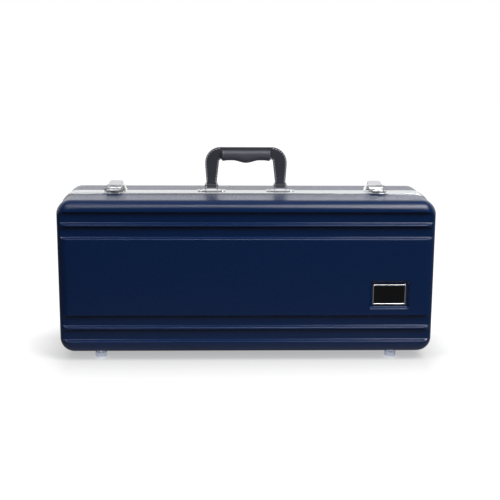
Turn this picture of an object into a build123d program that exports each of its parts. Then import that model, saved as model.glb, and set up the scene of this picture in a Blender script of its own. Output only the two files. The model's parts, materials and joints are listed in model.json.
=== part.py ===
"""Alto saxophone case: two moulded half shells in an aluminium valance, hinged along the bottom.

Millimetres, +Z up, X along the case, Y through its depth. The case stands on its feet, the
origin is on the floor under its middle, the mating plane is Y = 0, the lid is on the -Y side
and the base, which carries the handle and the latches, is on the +Y side.
"""

from build123d import *
import os

os.makedirs("parts", exist_ok=True)

# Case halves
CASE_LENGTH = 650.0
CASE_HEIGHT = 268.2
HALF_DEPTH = 100.0
OUTLINE_RADIUS = 24.5
FACE_FILLET = 19.0
WALL = 3.0

# Moulded channels across the big faces, heights above the shell's bottom
CHANNEL_DEPTH = 4.8
CHANNEL_RUN = 3.5
CHANNEL_WIDTH = 22.4
CHANNEL_EDGE = 1.5
CHANNEL_PITCH = 25.0
CHANNEL_TOP_MARGIN = 18.4
CHANNEL_BOTTOM_MARGIN = 21.1

# Valance, the rolled metal frame round each rim
VALANCE_PROUD = 1.5
VALANCE_WIDTH = 17.7
VALANCE_WEB = 4.0
INNER_FLANGE_WIDTH = 12.0
INNER_FLANGE_THICK = 1.5
VALANCE_EDGE = 0.6
TONGUE_INSET = 1.0
TONGUE_THICK = 1.6
TONGUE_HEIGHT = 2.0
TONGUE_CLEARANCE = 0.4

# Badge and its recess in the lid, height above the shell's bottom
BADGE_FROM_END = 77.8
BADGE_HEIGHT = 104.4
BADGE_WIDTH = 58.0
BADGE_TALL = 36.0
BADGE_RIM = 2.3
BADGE_FRAME_THICK = 1.7
BADGE_PLATE_THICK = 1.1
BADGE_RADIUS = 1.6
RECESS_WIDTH = 70.5
RECESS_TALL = 49.6
RECESS_RADIUS = 4.5

# Feet
FOOT_HEIGHT = 16.0
FOOT_RADIUS = 9.8
FOOT_FROM_END = 69.0
FOOT_FROM_FACE = 30.0
FOOT_GROOVE = 1.3
FOOT_FLAT_RADIUS = 7.0
SCREW_HEAD_RADIUS = 3.9
SCREW_HEAD_TALL = 2.6
SCREW_RADIUS = 2.0
SCREW_RECESS = 2.0

# Fits
RUNNING_FIT = 0.05
SEAT_FIT = 0.02
SOFT_GAP = 0.3

# Rivets
RIVET_RADIUS = 1.5
RIVET_HEAD_RADIUS = 2.4
RIVET_HEAD_TALL = 0.9

# Hinges
HINGE_FROM_END = 125.0
HINGE_LENGTH = 60.0
HINGE_LEAF_WIDTH = 15.0
HINGE_LEAF_THICK = 1.5
HINGE_BARREL_RADIUS = 3.2
HINGE_BARREL_GAP = 0.1
HINGE_PIN_RADIUS = 1.5
HINGE_KNUCKLES = 5
HINGE_KNUCKLE_GAP = 0.3
HINGE_RIVET_Y = 10.5
HINGE_RIVET_X = 22.0

# Latches
LATCH_FROM_END = 92.0
LATCH_PLATE_THICK = 1.5
LATCH_HALF_WIDTH = 20.5
LATCH_SEAM = 0.6
LATCH_BASE_LENGTH = 31.0
LATCH_BASE_SHOULDER = 22.0
LATCH_BASE_TIP = 13.0
STRIKE_LENGTH = 31.0
STRIKE_SHOULDER = 10.0
STRIKE_TIP = 11.0
SHIELD_BOW = 1.8
LIP_Y = 8.0
LIP_WIDTH = 3.0
LIP_HALF_LENGTH = 8.6
LIP_TALL = 1.9
CLAW_LIP_GAP = 0.3
CHEEK_INNER = 12.6
CHEEK_FOOT_OUTER = 19.6
CHEEK_TOP_OUTER = 15.6
CHEEK_FRONT_Y = 0.8
CHEEK_CREST_Y = 14.0
CHEEK_REAR_Y = 25.0
CHEEK_HEIGHT = 10.6
PIVOT_BITE = 3.0
PIVOT_Y = 3.5
PIVOT_HEIGHT = 5.2
PIVOT_RADIUS = 1.5
SKIRT_THICK = 2.0
SKIRT_SIDE_GAP = 0.3
CLAW_PIN_BACK = 8.0
CLAW_PIN_DROP = 0.8
CLAW_PIN_RADIUS = 1.2
CLAW_HALF_WIDTH = 9.8
CLAW_TIP_HALF_WIDTH = 7.6
CLAW_THICK = 1.4
CLAW_KNUCKLE_RADIUS = 2.4
CLAW_REACH = 17.0
CLAW_CURL_RADIUS = 1.5
CLAW_SLOT_X = (-3.9, 3.9)
CLAW_SLOT_WIDTH = 3.8
CLAW_SLOT_LENGTH = 7.5
STRIKE_SLIT_WIDTH = 9.5
STRIKE_SLIT_TALL = 1.3
STRIKE_SLIT_DEPTH = 2.0
CAP_THICK = 1.6
CAP_FRONT_BEHIND_PIN = 2.0
CAP_FRONT_HEIGHT = 9.6
CAP_REAR_Y = 34.0
CAP_REAR_HEIGHT = 15.2
CAP_CORNER = 6.0
CAP_LIP_THICK = 1.2
CAP_LIP_DROP = 2.6
CAP_NOTCH_X = (-6.4, 0.0, 6.4)
CAP_NOTCH_WIDTH = 3.4
CAP_NOTCH_TALL = 1.9
SKIRT_EYE_RADIUS = 3.2
SKIRT_FLOOR_GAP = 0.7
SKIRT_REAR_Y = 24.0
LATCH_RIVET_X = 7.0
LATCH_RIVET_Y = 4.2
STRIKE_RIVET_X = 15.5
STRIKE_RIVET_Y = 8.0

# Handle
HANDLE_Y = 9.0
HANDLE_WIDTH = 145.0
HANDLE_RISE = 78.1
HANDLE_CORNER = 27.0
HANDLE_INNER_CORNER = 4.5
HANDLE_PIN_X = 61.4
HANDLE_PIN_HEIGHT = 9.5
HANDLE_PIN_RADIUS = 2.0
HANDLE_PIN_HEAD = 1.2
LEG_FOOT_WIDTH = 17.0
LEG_HEAD_WIDTH = 23.7
LEG_HEAD_HEIGHT = 46.3
LEG_END_RADIUS = 4.5
TOP_BAR_TALL = 20.8
LEATHER_THICK = 2.7
CORE_THICK = 1.6
CORE_INSET = 3.0
BUSH_RADIUS = 3.2
GRIP_HALF_LENGTH = 43.5
GRIP_THICK = 22.0
GRIP_TALL = 19.2
GRIP_BULGE = 4.8
GRIP_BULGE_SPAN = 22.0
GRIP_RADIUS = 7.5
BAND_ABOVE_GRIP = 4.0
BRACKET_LENGTH = 51.0
BRACKET_WIDTH = 16.0
BRACKET_THICK = 1.5
BRACKET_EAR_CLEARANCE = 1.0
BRACKET_EAR_HEIGHT = 15.0
BRACKET_EAR_WIDTH = 12.0
BRACKET_RIVET_X = 18.5

# Interior
FOAM_FACE = 4.0
PLUSH_THICK = 2.0
POCKET_WALL = 12.0
BODY_WIDTH = 96.0
BODY_DEPTH = 72.0
BOW_WIDTH = 144.0
BOW_TALL = 202.0
BELL_WIDTH = 116.0
BELL_MOUTH_X = 16.0
BELL_NECK_WIDTH = 70.0
BELL_DEPTH = 82.0
ISLAND_LENGTH = 96.0
ISLAND_WIDTH = 18.0
NECK_LENGTH = 190.0
NECK_TALL = 58.0
NECK_DEPTH = 62.0
MOUTHPIECE_LENGTH = 100.0
SMALL_POCKET_DEPTH = 45.0
ACCESSORY_LENGTH = 92.0
ACCESSORY_DEPTH = 60.0
POCKET_RADIUS = 10.0
LID_RECESS_DEPTH = 50.0
LID_RECESS_MARGIN = 16.0
LID_RECESS_RADIUS = 24.0

# Places worked out from the sizes
LID = -1
BASE = 1
LEFT = -1
RIGHT = 1
BADGE_X = CASE_LENGTH / 2 - BADGE_FROM_END
FOOT_X = CASE_LENGTH / 2 - FOOT_FROM_END
FOOT_Y = HALF_DEPTH - FOOT_FROM_FACE
LATCH_X = CASE_LENGTH / 2 - LATCH_FROM_END
HINGE_X = (HINGE_FROM_END - CASE_LENGTH / 2, 0.0, CASE_LENGTH / 2 - HINGE_FROM_END)
SHELL_BOTTOM = FOOT_HEIGHT
SHELL_TOP = SHELL_BOTTOM + CASE_HEIGHT
CENTRE_Z = SHELL_BOTTOM + CASE_HEIGHT / 2
VALANCE_TOP = SHELL_TOP + VALANCE_PROUD
VALANCE_BOTTOM = SHELL_BOTTOM - VALANCE_PROUD
HINGE_Z = VALANCE_BOTTOM - HINGE_BARREL_GAP - HINGE_BARREL_RADIUS
BADGE_Z = SHELL_BOTTOM + BADGE_HEIGHT
LATCH_TOP = VALANCE_TOP + LATCH_PLATE_THICK
PIVOT_Z = VALANCE_TOP + PIVOT_HEIGHT
CLAW_PIN_Y = PIVOT_Y + CLAW_PIN_BACK
CLAW_PIN_Z = PIVOT_Z - CLAW_PIN_DROP
SKIRT_OUTER = CHEEK_INNER - SKIRT_SIDE_GAP
SKIRT_INNER = SKIRT_OUTER - SKIRT_THICK
HANDLE_PIN_Z = VALANCE_TOP + HANDLE_PIN_HEIGHT
HANDLE_TOP = VALANCE_TOP + HANDLE_RISE
STRAP_HALF = LEATHER_THICK + CORE_THICK / 2
FOAM_BACK = HALF_DEPTH - WALL - CHANNEL_DEPTH - SOFT_GAP
FOAM_INSET = WALL + INNER_FLANGE_THICK + SOFT_GAP


def channel_centres():
    """Heights of the middles of the four channels, from the top down."""
    first = SHELL_TOP - CHANNEL_TOP_MARGIN - CHANNEL_WIDTH / 2
    last = SHELL_BOTTOM + CHANNEL_BOTTOM_MARGIN + CHANNEL_WIDTH / 2
    return (first, first - CHANNEL_PITCH, last + CHANNEL_PITCH, last)


def wall_growth():
    """How much wider a sloped recess is on the inside of the wall than on its outside."""
    slope_length = (CHANNEL_RUN**2 + CHANNEL_DEPTH**2) ** 0.5
    return WALL * (slope_length - CHANNEL_RUN) / CHANNEL_DEPTH


def half_plane(side, distance, x=0.0, z=0.0):
    """A plane facing out of one half: local y is up and the normal points away from the seam."""
    return Plane(origin=(x, side * distance, z), x_dir=(-side, 0, 0), z_dir=(0, side, 0))


def case_outline(offset, mode=Mode.ADD):
    """The case's rounded outline, grown outwards by an offset."""
    RectangleRounded(
        CASE_LENGTH + 2 * offset, CASE_HEIGHT + 2 * offset, OUTLINE_RADIUS + offset, mode=mode
    )


def finish(builder, name):
    """Label a finished piece and write it out."""
    builder.part.label = name
    export_step(builder.part, f"parts/{name}.step")
    return builder.part


def rivet(shank):
    """A round-headed rivet standing on Z = 0 with its shank below."""
    with BuildPart() as one:
        Cylinder(
            RIVET_HEAD_RADIUS, RIVET_HEAD_TALL, align=(Align.CENTER, Align.CENTER, Align.MIN)
        )
        chamfer(one.edges().sort_by(Axis.Z)[-1], RIVET_HEAD_TALL * 0.6)
        Cylinder(RIVET_RADIUS, shank, align=(Align.CENTER, Align.CENTER, Align.MAX))
    return one.part


# Where the rivets go: places in the top or bottom of the valance, by body
def latch_base_rivets_at(side):
    x = side * LATCH_X
    return [(x + dx, LATCH_RIVET_Y) for dx in (-LATCH_RIVET_X, LATCH_RIVET_X)]


def strike_rivets_at(side):
    x = side * LATCH_X
    return [(x + dx, -STRIKE_RIVET_Y) for dx in (-STRIKE_RIVET_X, STRIKE_RIVET_X)]


def bracket_rivets_at(side):
    x = side * HANDLE_PIN_X
    return [(x + dx, HANDLE_Y) for dx in (-BRACKET_RIVET_X, BRACKET_RIVET_X)]


def hinge_rivets_at(side):
    y = side * HINGE_RIVET_Y
    return [(x + dx, y) for x in HINGE_X for dx in (-HINGE_RIVET_X, HINGE_RIVET_X)]


TOP_RIVETS = {
    BASE: latch_base_rivets_at(LEFT)
    + latch_base_rivets_at(RIGHT)
    + bracket_rivets_at(LEFT)
    + bracket_rivets_at(RIGHT),
    LID: strike_rivets_at(LEFT) + strike_rivets_at(RIGHT),
}


def drill_vertical(places, z_low, z_high, radius):
    """Upright holes at a list of places."""
    with Locations([(x, y, (z_low + z_high) / 2) for x, y in places]):
        Cylinder(radius, z_high - z_low, mode=Mode.SUBTRACT)


# Shells
def channel_bar(side, z):
    """A bar with the channel's sloped section and eased edges, running the length of the case."""
    face = side * HALF_DEPTH
    floor = side * (HALF_DEPTH - CHANNEL_DEPTH)
    clear = side * (HALF_DEPTH + CHANNEL_DEPTH)
    wide = CHANNEL_WIDTH / 2
    narrow = wide - CHANNEL_RUN
    flare = wide + CHANNEL_EDGE * 0.6
    with BuildPart() as bar:
        with BuildSketch(Plane.YZ.offset(-CASE_LENGTH / 2)) as section:
            with BuildLine():
                Polyline(
                    (clear, z + flare),
                    (face, z + flare),
                    (face, z + wide),
                    (floor, z + narrow),
                    (floor, z - narrow),
                    (face, z - wide),
                    (face, z - flare),
                    (clear, z - flare),
                    close=True,
                )
            make_face()
            bends = [v for v in section.vertices() if abs(v.Y - z) < (wide + flare) / 2]
            fillet(bends, CHANNEL_EDGE)
        extrude(amount=CASE_LENGTH)
    return bar.part


def channel_back(side, z):
    """The same channel's back, a ridge that stands into the shell's hollow."""
    face = side * (HALF_DEPTH - WALL)
    crest = side * (HALF_DEPTH - WALL - CHANNEL_DEPTH)
    clear = side * HALF_DEPTH
    wide = CHANNEL_WIDTH / 2 + wall_growth()
    narrow = wide - CHANNEL_RUN
    with BuildPart() as ridge:
        with BuildSketch(Plane.YZ.offset(-CASE_LENGTH / 2)):
            with BuildLine():
                Polyline(
                    (clear, z + wide),
                    (face, z + wide),
                    (crest, z + narrow),
                    (crest, z - narrow),
                    (face, z - wide),
                    (clear, z - wide),
                    close=True,
                )
            make_face()
        extrude(amount=CASE_LENGTH)
    return ridge.part


def badge_pocket(growth, sink):
    """The sloped pocket for the badge, or the space behind its wall."""
    wide = RECESS_WIDTH + 2 * growth
    tall = RECESS_TALL + 2 * growth
    lip = HALF_DEPTH - sink
    with BuildPart() as pocket:
        with BuildSketch(half_plane(LID, lip, BADGE_X, BADGE_Z)):
            RectangleRounded(wide, tall, RECESS_RADIUS)
        with BuildSketch(half_plane(LID, lip - CHANNEL_DEPTH, BADGE_X, BADGE_Z)):
            RectangleRounded(
                wide - 2 * CHANNEL_RUN, tall - 2 * CHANNEL_RUN, RECESS_RADIUS - VALANCE_PROUD
            )
        loft(ruled=True)
    return pocket.part


def shell_hollow(side):
    """The space inside one shell, with the backs of the channels standing into it."""
    with BuildPart() as hollow:
        with BuildSketch(half_plane(side, VALANCE_WEB, z=CENTRE_Z)):
            case_outline(-WALL)
        extrude(amount=HALF_DEPTH - WALL - VALANCE_WEB)
        far_face = hollow.faces().sort_by(Axis.Y)[0 if side == LID else -1]
        fillet(far_face.edges(), FACE_FILLET - WALL)
        for z in channel_centres():
            add(channel_back(side, z), mode=Mode.SUBTRACT)
        if side == LID:
            add(badge_pocket(wall_growth(), WALL), mode=Mode.SUBTRACT)
    return hollow.part


def make_shell(side, name):
    """One vacuum-formed half: filleted tray, channels outside and in, even wall."""
    hollow = shell_hollow(side)
    with BuildPart() as shell:
        with BuildSketch(half_plane(side, VALANCE_WEB, z=CENTRE_Z)):
            case_outline(0)
        extrude(amount=HALF_DEPTH - VALANCE_WEB)
        far_face = shell.faces().sort_by(Axis.Y)[0 if side == LID else -1]
        fillet(far_face.edges(), FACE_FILLET)
        for z in channel_centres():
            add(channel_bar(side, z), mode=Mode.SUBTRACT)
        if side == LID:
            add(badge_pocket(0, 0), mode=Mode.SUBTRACT)
        add(hollow, mode=Mode.SUBTRACT)
        feet = [(x, side * FOOT_Y) for x in (-FOOT_X, FOOT_X)]
        drill_vertical(feet, SHELL_BOTTOM - WALL, SHELL_BOTTOM + 2 * WALL, SCREW_RADIUS + SEAT_FIT)
    return finish(shell, name)


# Valances
def make_valance(side, name):
    """Outer flange, web on the mating face, inner flange, and the tongue or its groove."""
    seam = half_plane(side, 0, z=CENTRE_Z)
    inner_edge = -(WALL + INNER_FLANGE_THICK)
    with BuildPart() as valance:
        with BuildSketch(seam):
            case_outline(VALANCE_PROUD)
            case_outline(0, mode=Mode.SUBTRACT)
        extrude(amount=VALANCE_WIDTH)
        outer_edges = valance.edges().filter_by_position(
            Axis.Y, side * VALANCE_WIDTH - 0.01, side * VALANCE_WIDTH + 0.01
        )
        chamfer(
            outer_edges.filter_by(lambda edge: outside_outline(edge, VALANCE_PROUD)), VALANCE_EDGE
        )
        with BuildSketch(seam):
            case_outline(0)
            case_outline(inner_edge, mode=Mode.SUBTRACT)
        extrude(amount=VALANCE_WEB)
        with BuildSketch(seam):
            case_outline(-WALL)
            case_outline(inner_edge, mode=Mode.SUBTRACT)
        extrude(amount=INNER_FLANGE_WIDTH)
        if side == BASE:
            with BuildSketch(seam):
                case_outline(-TONGUE_INSET)
                case_outline(-TONGUE_INSET - TONGUE_THICK, mode=Mode.SUBTRACT)
            extrude(amount=-TONGUE_HEIGHT)
        else:
            with BuildSketch(seam):
                case_outline(-TONGUE_INSET + TONGUE_CLEARANCE)
                case_outline(
                    -TONGUE_INSET - TONGUE_THICK - TONGUE_CLEARANCE, mode=Mode.SUBTRACT
                )
            extrude(amount=TONGUE_HEIGHT + TONGUE_CLEARANCE, mode=Mode.SUBTRACT)
        hole = RIVET_RADIUS + SEAT_FIT
        drill_vertical(TOP_RIVETS[side], SHELL_TOP, VALANCE_TOP, hole)
        drill_vertical(hinge_rivets_at(side), VALANCE_BOTTOM, SHELL_BOTTOM, hole)
    return finish(valance, name)


def outside_outline(edge, offset):
    """True for an edge on the case outline grown by an offset."""
    middle = edge.position_at(0.5)
    half_length = CASE_LENGTH / 2 + offset
    half_height = CASE_HEIGHT / 2 + offset
    radius = OUTLINE_RADIUS + offset
    across = abs(middle.X) - (half_length - radius)
    up = abs(middle.Z - CENTRE_Z) - (half_height - radius)
    if across > 0 and up > 0:
        reach = (across**2 + up**2) ** 0.5
    else:
        reach = max(across, up)
    return abs(reach - radius) < VALANCE_PROUD / 10


# Badge
def make_badge():
    """A thin metal frame round a bare plate, on the floor of its recess."""
    floor = HALF_DEPTH - CHANNEL_DEPTH
    seat = half_plane(LID, floor, BADGE_X, BADGE_Z)
    inner_width = BADGE_WIDTH - 2 * BADGE_RIM
    inner_tall = BADGE_TALL - 2 * BADGE_RIM
    with BuildPart() as frame:
        with BuildSketch(seat):
            RectangleRounded(BADGE_WIDTH, BADGE_TALL, BADGE_RADIUS)
            RectangleRounded(inner_width, inner_tall, BADGE_RADIUS / 2, mode=Mode.SUBTRACT)
        extrude(amount=BADGE_FRAME_THICK)
        front = frame.faces().sort_by(Axis.Y)[0]
        chamfer(front.edges(), BADGE_RIM / 5)
    finish(frame, "badge_frame")
    with BuildPart() as plate:
        with BuildSketch(seat):
            RectangleRounded(
                inner_width - 2 * SEAT_FIT, inner_tall - 2 * SEAT_FIT, BADGE_RADIUS / 2
            )
        extrude(amount=BADGE_PLATE_THICK)
    finish(plate, "badge_plate")


# Feet
def make_feet(side, name, screw_name):
    """Turned feet with a grooved collar and a domed end, each held by one screw."""
    places = [(x, side * FOOT_Y, 0) for x in (-FOOT_X, FOOT_X)]
    bore = SCREW_RADIUS + SEAT_FIT
    recess = SCREW_HEAD_RADIUS + SEAT_FIT
    head_seat = SCREW_RECESS + SCREW_HEAD_TALL
    groove_top = FOOT_HEIGHT - 2 * FOOT_GROOVE
    dome_start = FOOT_HEIGHT * 0.4
    dome_side = FOOT_FLAT_RADIUS + (FOOT_RADIUS - FOOT_FLAT_RADIUS) * 0.72
    with BuildPart() as one_foot:
        with BuildSketch(Plane.XZ):
            with BuildLine():
                Polyline(
                    (recess, 0),
                    (recess, head_seat),
                    (bore, head_seat),
                    (bore, FOOT_HEIGHT),
                    (FOOT_RADIUS, FOOT_HEIGHT),
                    (FOOT_RADIUS, groove_top),
                    (FOOT_RADIUS - FOOT_GROOVE, groove_top - FOOT_GROOVE / 2),
                    (FOOT_RADIUS - FOOT_GROOVE, groove_top - FOOT_GROOVE),
                    (FOOT_RADIUS, groove_top - FOOT_GROOVE * 1.5),
                    (FOOT_RADIUS, dome_start),
                )
                ThreePointArc(
                    (FOOT_RADIUS, dome_start), (dome_side, dome_start * 0.3), (FOOT_FLAT_RADIUS, 0)
                )
                Line((FOOT_FLAT_RADIUS, 0), (recess, 0))
            make_face()
        revolve(axis=Axis.Z)
    with BuildPart() as feet:
        with Locations(places):
            add(one_foot.part)
    finish(feet, name)
    with BuildPart() as screws:
        with Locations([(x, y, SCREW_RECESS) for x, y, _ in places]):
            Cylinder(
                SCREW_HEAD_RADIUS, SCREW_HEAD_TALL, align=(Align.CENTER, Align.CENTER, Align.MIN)
            )
            Cylinder(
                SCREW_RADIUS,
                FOOT_HEIGHT + WALL - SCREW_RECESS,
                align=(Align.CENTER, Align.CENTER, Align.MIN),
            )
    finish(screws, screw_name)


# Hinges
def knuckle_spans(centre, side):
    """Start and end in X of one leaf's knuckles: the base has the odd ones, the lid the even."""
    pitch = HINGE_LENGTH / HINGE_KNUCKLES
    first = 0 if side == BASE else 1
    start = centre - HINGE_LENGTH / 2
    half_gap = HINGE_KNUCKLE_GAP / 2
    return [
        (start + i * pitch + half_gap, start + (i + 1) * pitch - half_gap)
        for i in range(first, HINGE_KNUCKLES, 2)
    ]


def make_hinge_leaf(side, centre, name):
    """A leaf under the valance with its share of the knuckles rolled round the pin."""
    barrel_clear = HINGE_BARREL_RADIUS + HINGE_KNUCKLE_GAP
    with BuildPart() as leaf:
        with BuildSketch(Plane.XY.offset(VALANCE_BOTTOM)):
            with Locations((centre, side * (HINGE_LEAF_WIDTH + barrel_clear) / 2)):
                Rectangle(HINGE_LENGTH - HINGE_KNUCKLE_GAP, HINGE_LEAF_WIDTH - barrel_clear)
        extrude(amount=-HINGE_LEAF_THICK)
        corners = leaf.edges().filter_by(Axis.Z).group_by(Axis.Y)[-1 if side == BASE else 0]
        fillet(corners, HINGE_LEAF_THICK * 2)
        for low, high in knuckle_spans(centre, side):
            with BuildSketch(Plane.YZ.offset(low)):
                with Locations((0, HINGE_Z)):
                    Circle(HINGE_BARREL_RADIUS)
                with Locations(
                    (side * barrel_clear / 2, VALANCE_BOTTOM - HINGE_LEAF_THICK / 2)
                ):
                    Rectangle(barrel_clear, HINGE_LEAF_THICK)
                with Locations((0, VALANCE_BOTTOM)):
                    Rectangle(HINGE_BARREL_RADIUS, 2 * HINGE_BARREL_GAP, mode=Mode.SUBTRACT)
            extrude(amount=high - low)
        with BuildSketch(Plane.YZ.offset(centre - HINGE_LENGTH / 2)):
            with Locations((0, HINGE_Z)):
                Circle(HINGE_PIN_RADIUS + RUNNING_FIT)
        extrude(amount=HINGE_LENGTH, mode=Mode.SUBTRACT)
        holes = [(x, y) for x, y in hinge_rivets_at(side) if abs(x - centre) < HINGE_LENGTH / 2]
        drill_vertical(
            holes, VALANCE_BOTTOM - HINGE_LEAF_THICK, VALANCE_BOTTOM, RIVET_RADIUS + SEAT_FIT
        )
    return finish(leaf, name)


def make_hinge_pin(centre, name):
    """The pin through all the knuckles, with a small head at each end."""
    head = RIVET_HEAD_TALL
    with BuildPart() as pin:
        with BuildSketch(Plane.YZ.offset(centre - HINGE_LENGTH / 2)):
            with Locations((0, HINGE_Z)):
                Circle(HINGE_PIN_RADIUS)
        extrude(amount=HINGE_LENGTH)
        for start in (centre - HINGE_LENGTH / 2 - head, centre + HINGE_LENGTH / 2):
            with BuildSketch(Plane.YZ.offset(start)):
                with Locations((0, HINGE_Z)):
                    Circle(HINGE_PIN_RADIUS + head)
            extrude(amount=head)
    return finish(pin, name)


def make_rivets(places, z, shank, upward, name):
    """A group of rivets with their heads on top of, or under, the pieces that they hold."""
    turn = (0, 0, 0) if upward else (180, 0, 0)
    one = rivet(shank)
    with BuildPart() as group:
        for x, y in places:
            with Locations(Location((x, y, z), turn)):
                add(one)
    return finish(group, name)


# Latches
def latch_plane(x, side):
    """The shell's top under a latch, with local y pointing away from the seam."""
    return Plane(origin=(x, 0, SHELL_TOP), x_dir=(side, 0, 0), z_dir=(0, 0, 1))


def shield(length, shoulder, tip):
    """Half of the latch's outline on one side of the seam, narrowing away from it."""
    tip_y = length - SHIELD_BOW
    bulge_x = (LATCH_HALF_WIDTH + tip) / 2 + SHIELD_BOW
    bulge_y = (shoulder + tip_y) / 2
    with BuildSketch() as outline:
        with BuildLine():
            Line((-LATCH_HALF_WIDTH, LATCH_SEAM), (LATCH_HALF_WIDTH, LATCH_SEAM))
            Line((LATCH_HALF_WIDTH, LATCH_SEAM), (LATCH_HALF_WIDTH, shoulder))
            ThreePointArc((LATCH_HALF_WIDTH, shoulder), (bulge_x, bulge_y), (tip, tip_y))
            ThreePointArc((tip, tip_y), (0, length), (-tip, tip_y))
            ThreePointArc((-tip, tip_y), (-bulge_x, bulge_y), (-LATCH_HALF_WIDTH, shoulder))
            Line((-LATCH_HALF_WIDTH, shoulder), (-LATCH_HALF_WIDTH, LATCH_SEAM))
        make_face()
    return outline.sketch


def clear_valance(x, side):
    """Cut away the step of the valance from under a plate that also reaches the shell."""
    with Locations((x, side * (VALANCE_WIDTH + SEAT_FIT) / 2, SHELL_TOP)):
        Box(
            3 * LATCH_HALF_WIDTH,
            VALANCE_WIDTH + SEAT_FIT,
            VALANCE_PROUD,
            align=(Align.CENTER, Align.CENTER, Align.MIN),
            mode=Mode.SUBTRACT,
        )


def cheek_side_view():
    """The cheeks' outline seen from the end of the case, low at the seam and domed behind it."""
    foot = LATCH_TOP - LATCH_PLATE_THICK / 2
    crest = VALANCE_TOP + CHEEK_HEIGHT
    front_z = PIVOT_Z + 1.4 * PIVOT_RADIUS
    with BuildSketch() as outline:
        with BuildLine():
            Line((CHEEK_REAR_Y, foot), (CHEEK_FRONT_Y, foot))
            Line((CHEEK_FRONT_Y, foot), (CHEEK_FRONT_Y, PIVOT_Z))
            ThreePointArc(
                (CHEEK_FRONT_Y, PIVOT_Z),
                (PIVOT_Y, front_z),
                (CHEEK_CREST_Y, crest),
            )
            ThreePointArc(
                (CHEEK_CREST_Y, crest),
                ((CHEEK_CREST_Y + CHEEK_REAR_Y) / 2 + SHIELD_BOW, (crest + PIVOT_Z) / 2 + SHIELD_BOW),
                (CHEEK_REAR_Y, foot),
            )
        make_face()
    return outline.sketch


def make_latch_base(x, rivets, name):
    """The plate that carries the lever, with a domed cheek on each side for the pivots."""
    pin_reach = CHEEK_INNER + PIVOT_BITE
    with BuildPart() as plate:
        with BuildSketch(latch_plane(x, BASE)):
            add(shield(LATCH_BASE_LENGTH, LATCH_BASE_SHOULDER, LATCH_BASE_TIP))
        extrude(amount=VALANCE_PROUD + LATCH_PLATE_THICK)
        chamfer(plate.faces().sort_by(Axis.Z)[-1].edges(), LATCH_PLATE_THICK * 0.3)
        clear_valance(x, BASE)
        for side in (LEFT, RIGHT):
            add(cheek(x, side))
        with BuildSketch(Plane.YZ.offset(x - pin_reach)):
            with Locations((PIVOT_Y, PIVOT_Z)):
                Circle(PIVOT_RADIUS + SEAT_FIT)
        extrude(amount=2 * pin_reach, mode=Mode.SUBTRACT)
        drill_vertical(rivets, SHELL_TOP, LATCH_TOP, RIVET_RADIUS + SEAT_FIT)
    return finish(plate, name)


def cheek(x, side):
    """One cheek: upright beside the lever and leaning in on its outer side."""
    top = VALANCE_TOP + CHEEK_HEIGHT
    foot = LATCH_TOP - LATCH_PLATE_THICK / 2
    with BuildPart() as solid:
        with BuildSketch(Plane.YZ.offset(x - CHEEK_FOOT_OUTER)):
            add(cheek_side_view())
        extrude(amount=2 * CHEEK_FOOT_OUTER)
        with BuildSketch(Plane.XZ):
            with BuildLine():
                Polyline(
                    (x + side * CHEEK_INNER, foot),
                    (x + side * CHEEK_FOOT_OUTER, foot),
                    (x + side * CHEEK_FOOT_OUTER, LATCH_TOP),
                    (x + side * CHEEK_TOP_OUTER, top),
                    (x + side * CHEEK_INNER, top),
                    close=True,
                )
            make_face()
        extrude(amount=2 * LATCH_BASE_LENGTH, both=True, mode=Mode.INTERSECT)
    return solid.part


def make_strike(x, rivets, name):
    """The plate on the lid with the lip that the claw reaches over."""
    with BuildPart() as plate:
        with BuildSketch(latch_plane(x, LID)):
            add(shield(STRIKE_LENGTH, STRIKE_SHOULDER, STRIKE_TIP))
        extrude(amount=VALANCE_PROUD + LATCH_PLATE_THICK)
        chamfer(plate.faces().sort_by(Axis.Z)[-1].edges(), LATCH_PLATE_THICK * 0.3)
        clear_valance(x, LID)
        with Locations((x, -STRIKE_LENGTH, SHELL_TOP)):
            Box(
                STRIKE_SLIT_WIDTH,
                2 * STRIKE_SLIT_DEPTH,
                STRIKE_SLIT_TALL,
                align=(Align.CENTER, Align.CENTER, Align.MIN),
                mode=Mode.SUBTRACT,
            )
        with BuildSketch(Plane.YZ.offset(x - LIP_HALF_LENGTH)):
            with Locations((-LIP_Y - LIP_WIDTH / 2, LATCH_TOP + LIP_TALL / 2 - SEAT_FIT)):
                Trapezoid(LIP_WIDTH, LIP_TALL + 2 * SEAT_FIT, 75)
        extrude(amount=2 * LIP_HALF_LENGTH)
        drill_vertical(rivets, SHELL_TOP, LATCH_TOP, RIVET_RADIUS + SEAT_FIT)
    return finish(plate, name)


def make_pivots(x, name):
    """The two stub pivots, pressed into the cheeks and running in the lever's skirts."""
    length = CHEEK_INNER + PIVOT_BITE - SKIRT_INNER
    with BuildPart() as pivots:
        for start in (x - SKIRT_INNER - length, x + SKIRT_INNER):
            with BuildSketch(Plane.YZ.offset(start)):
                with Locations((PIVOT_Y, PIVOT_Z)):
                    Circle(PIVOT_RADIUS)
            extrude(amount=length)
    return finish(pivots, name)


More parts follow.
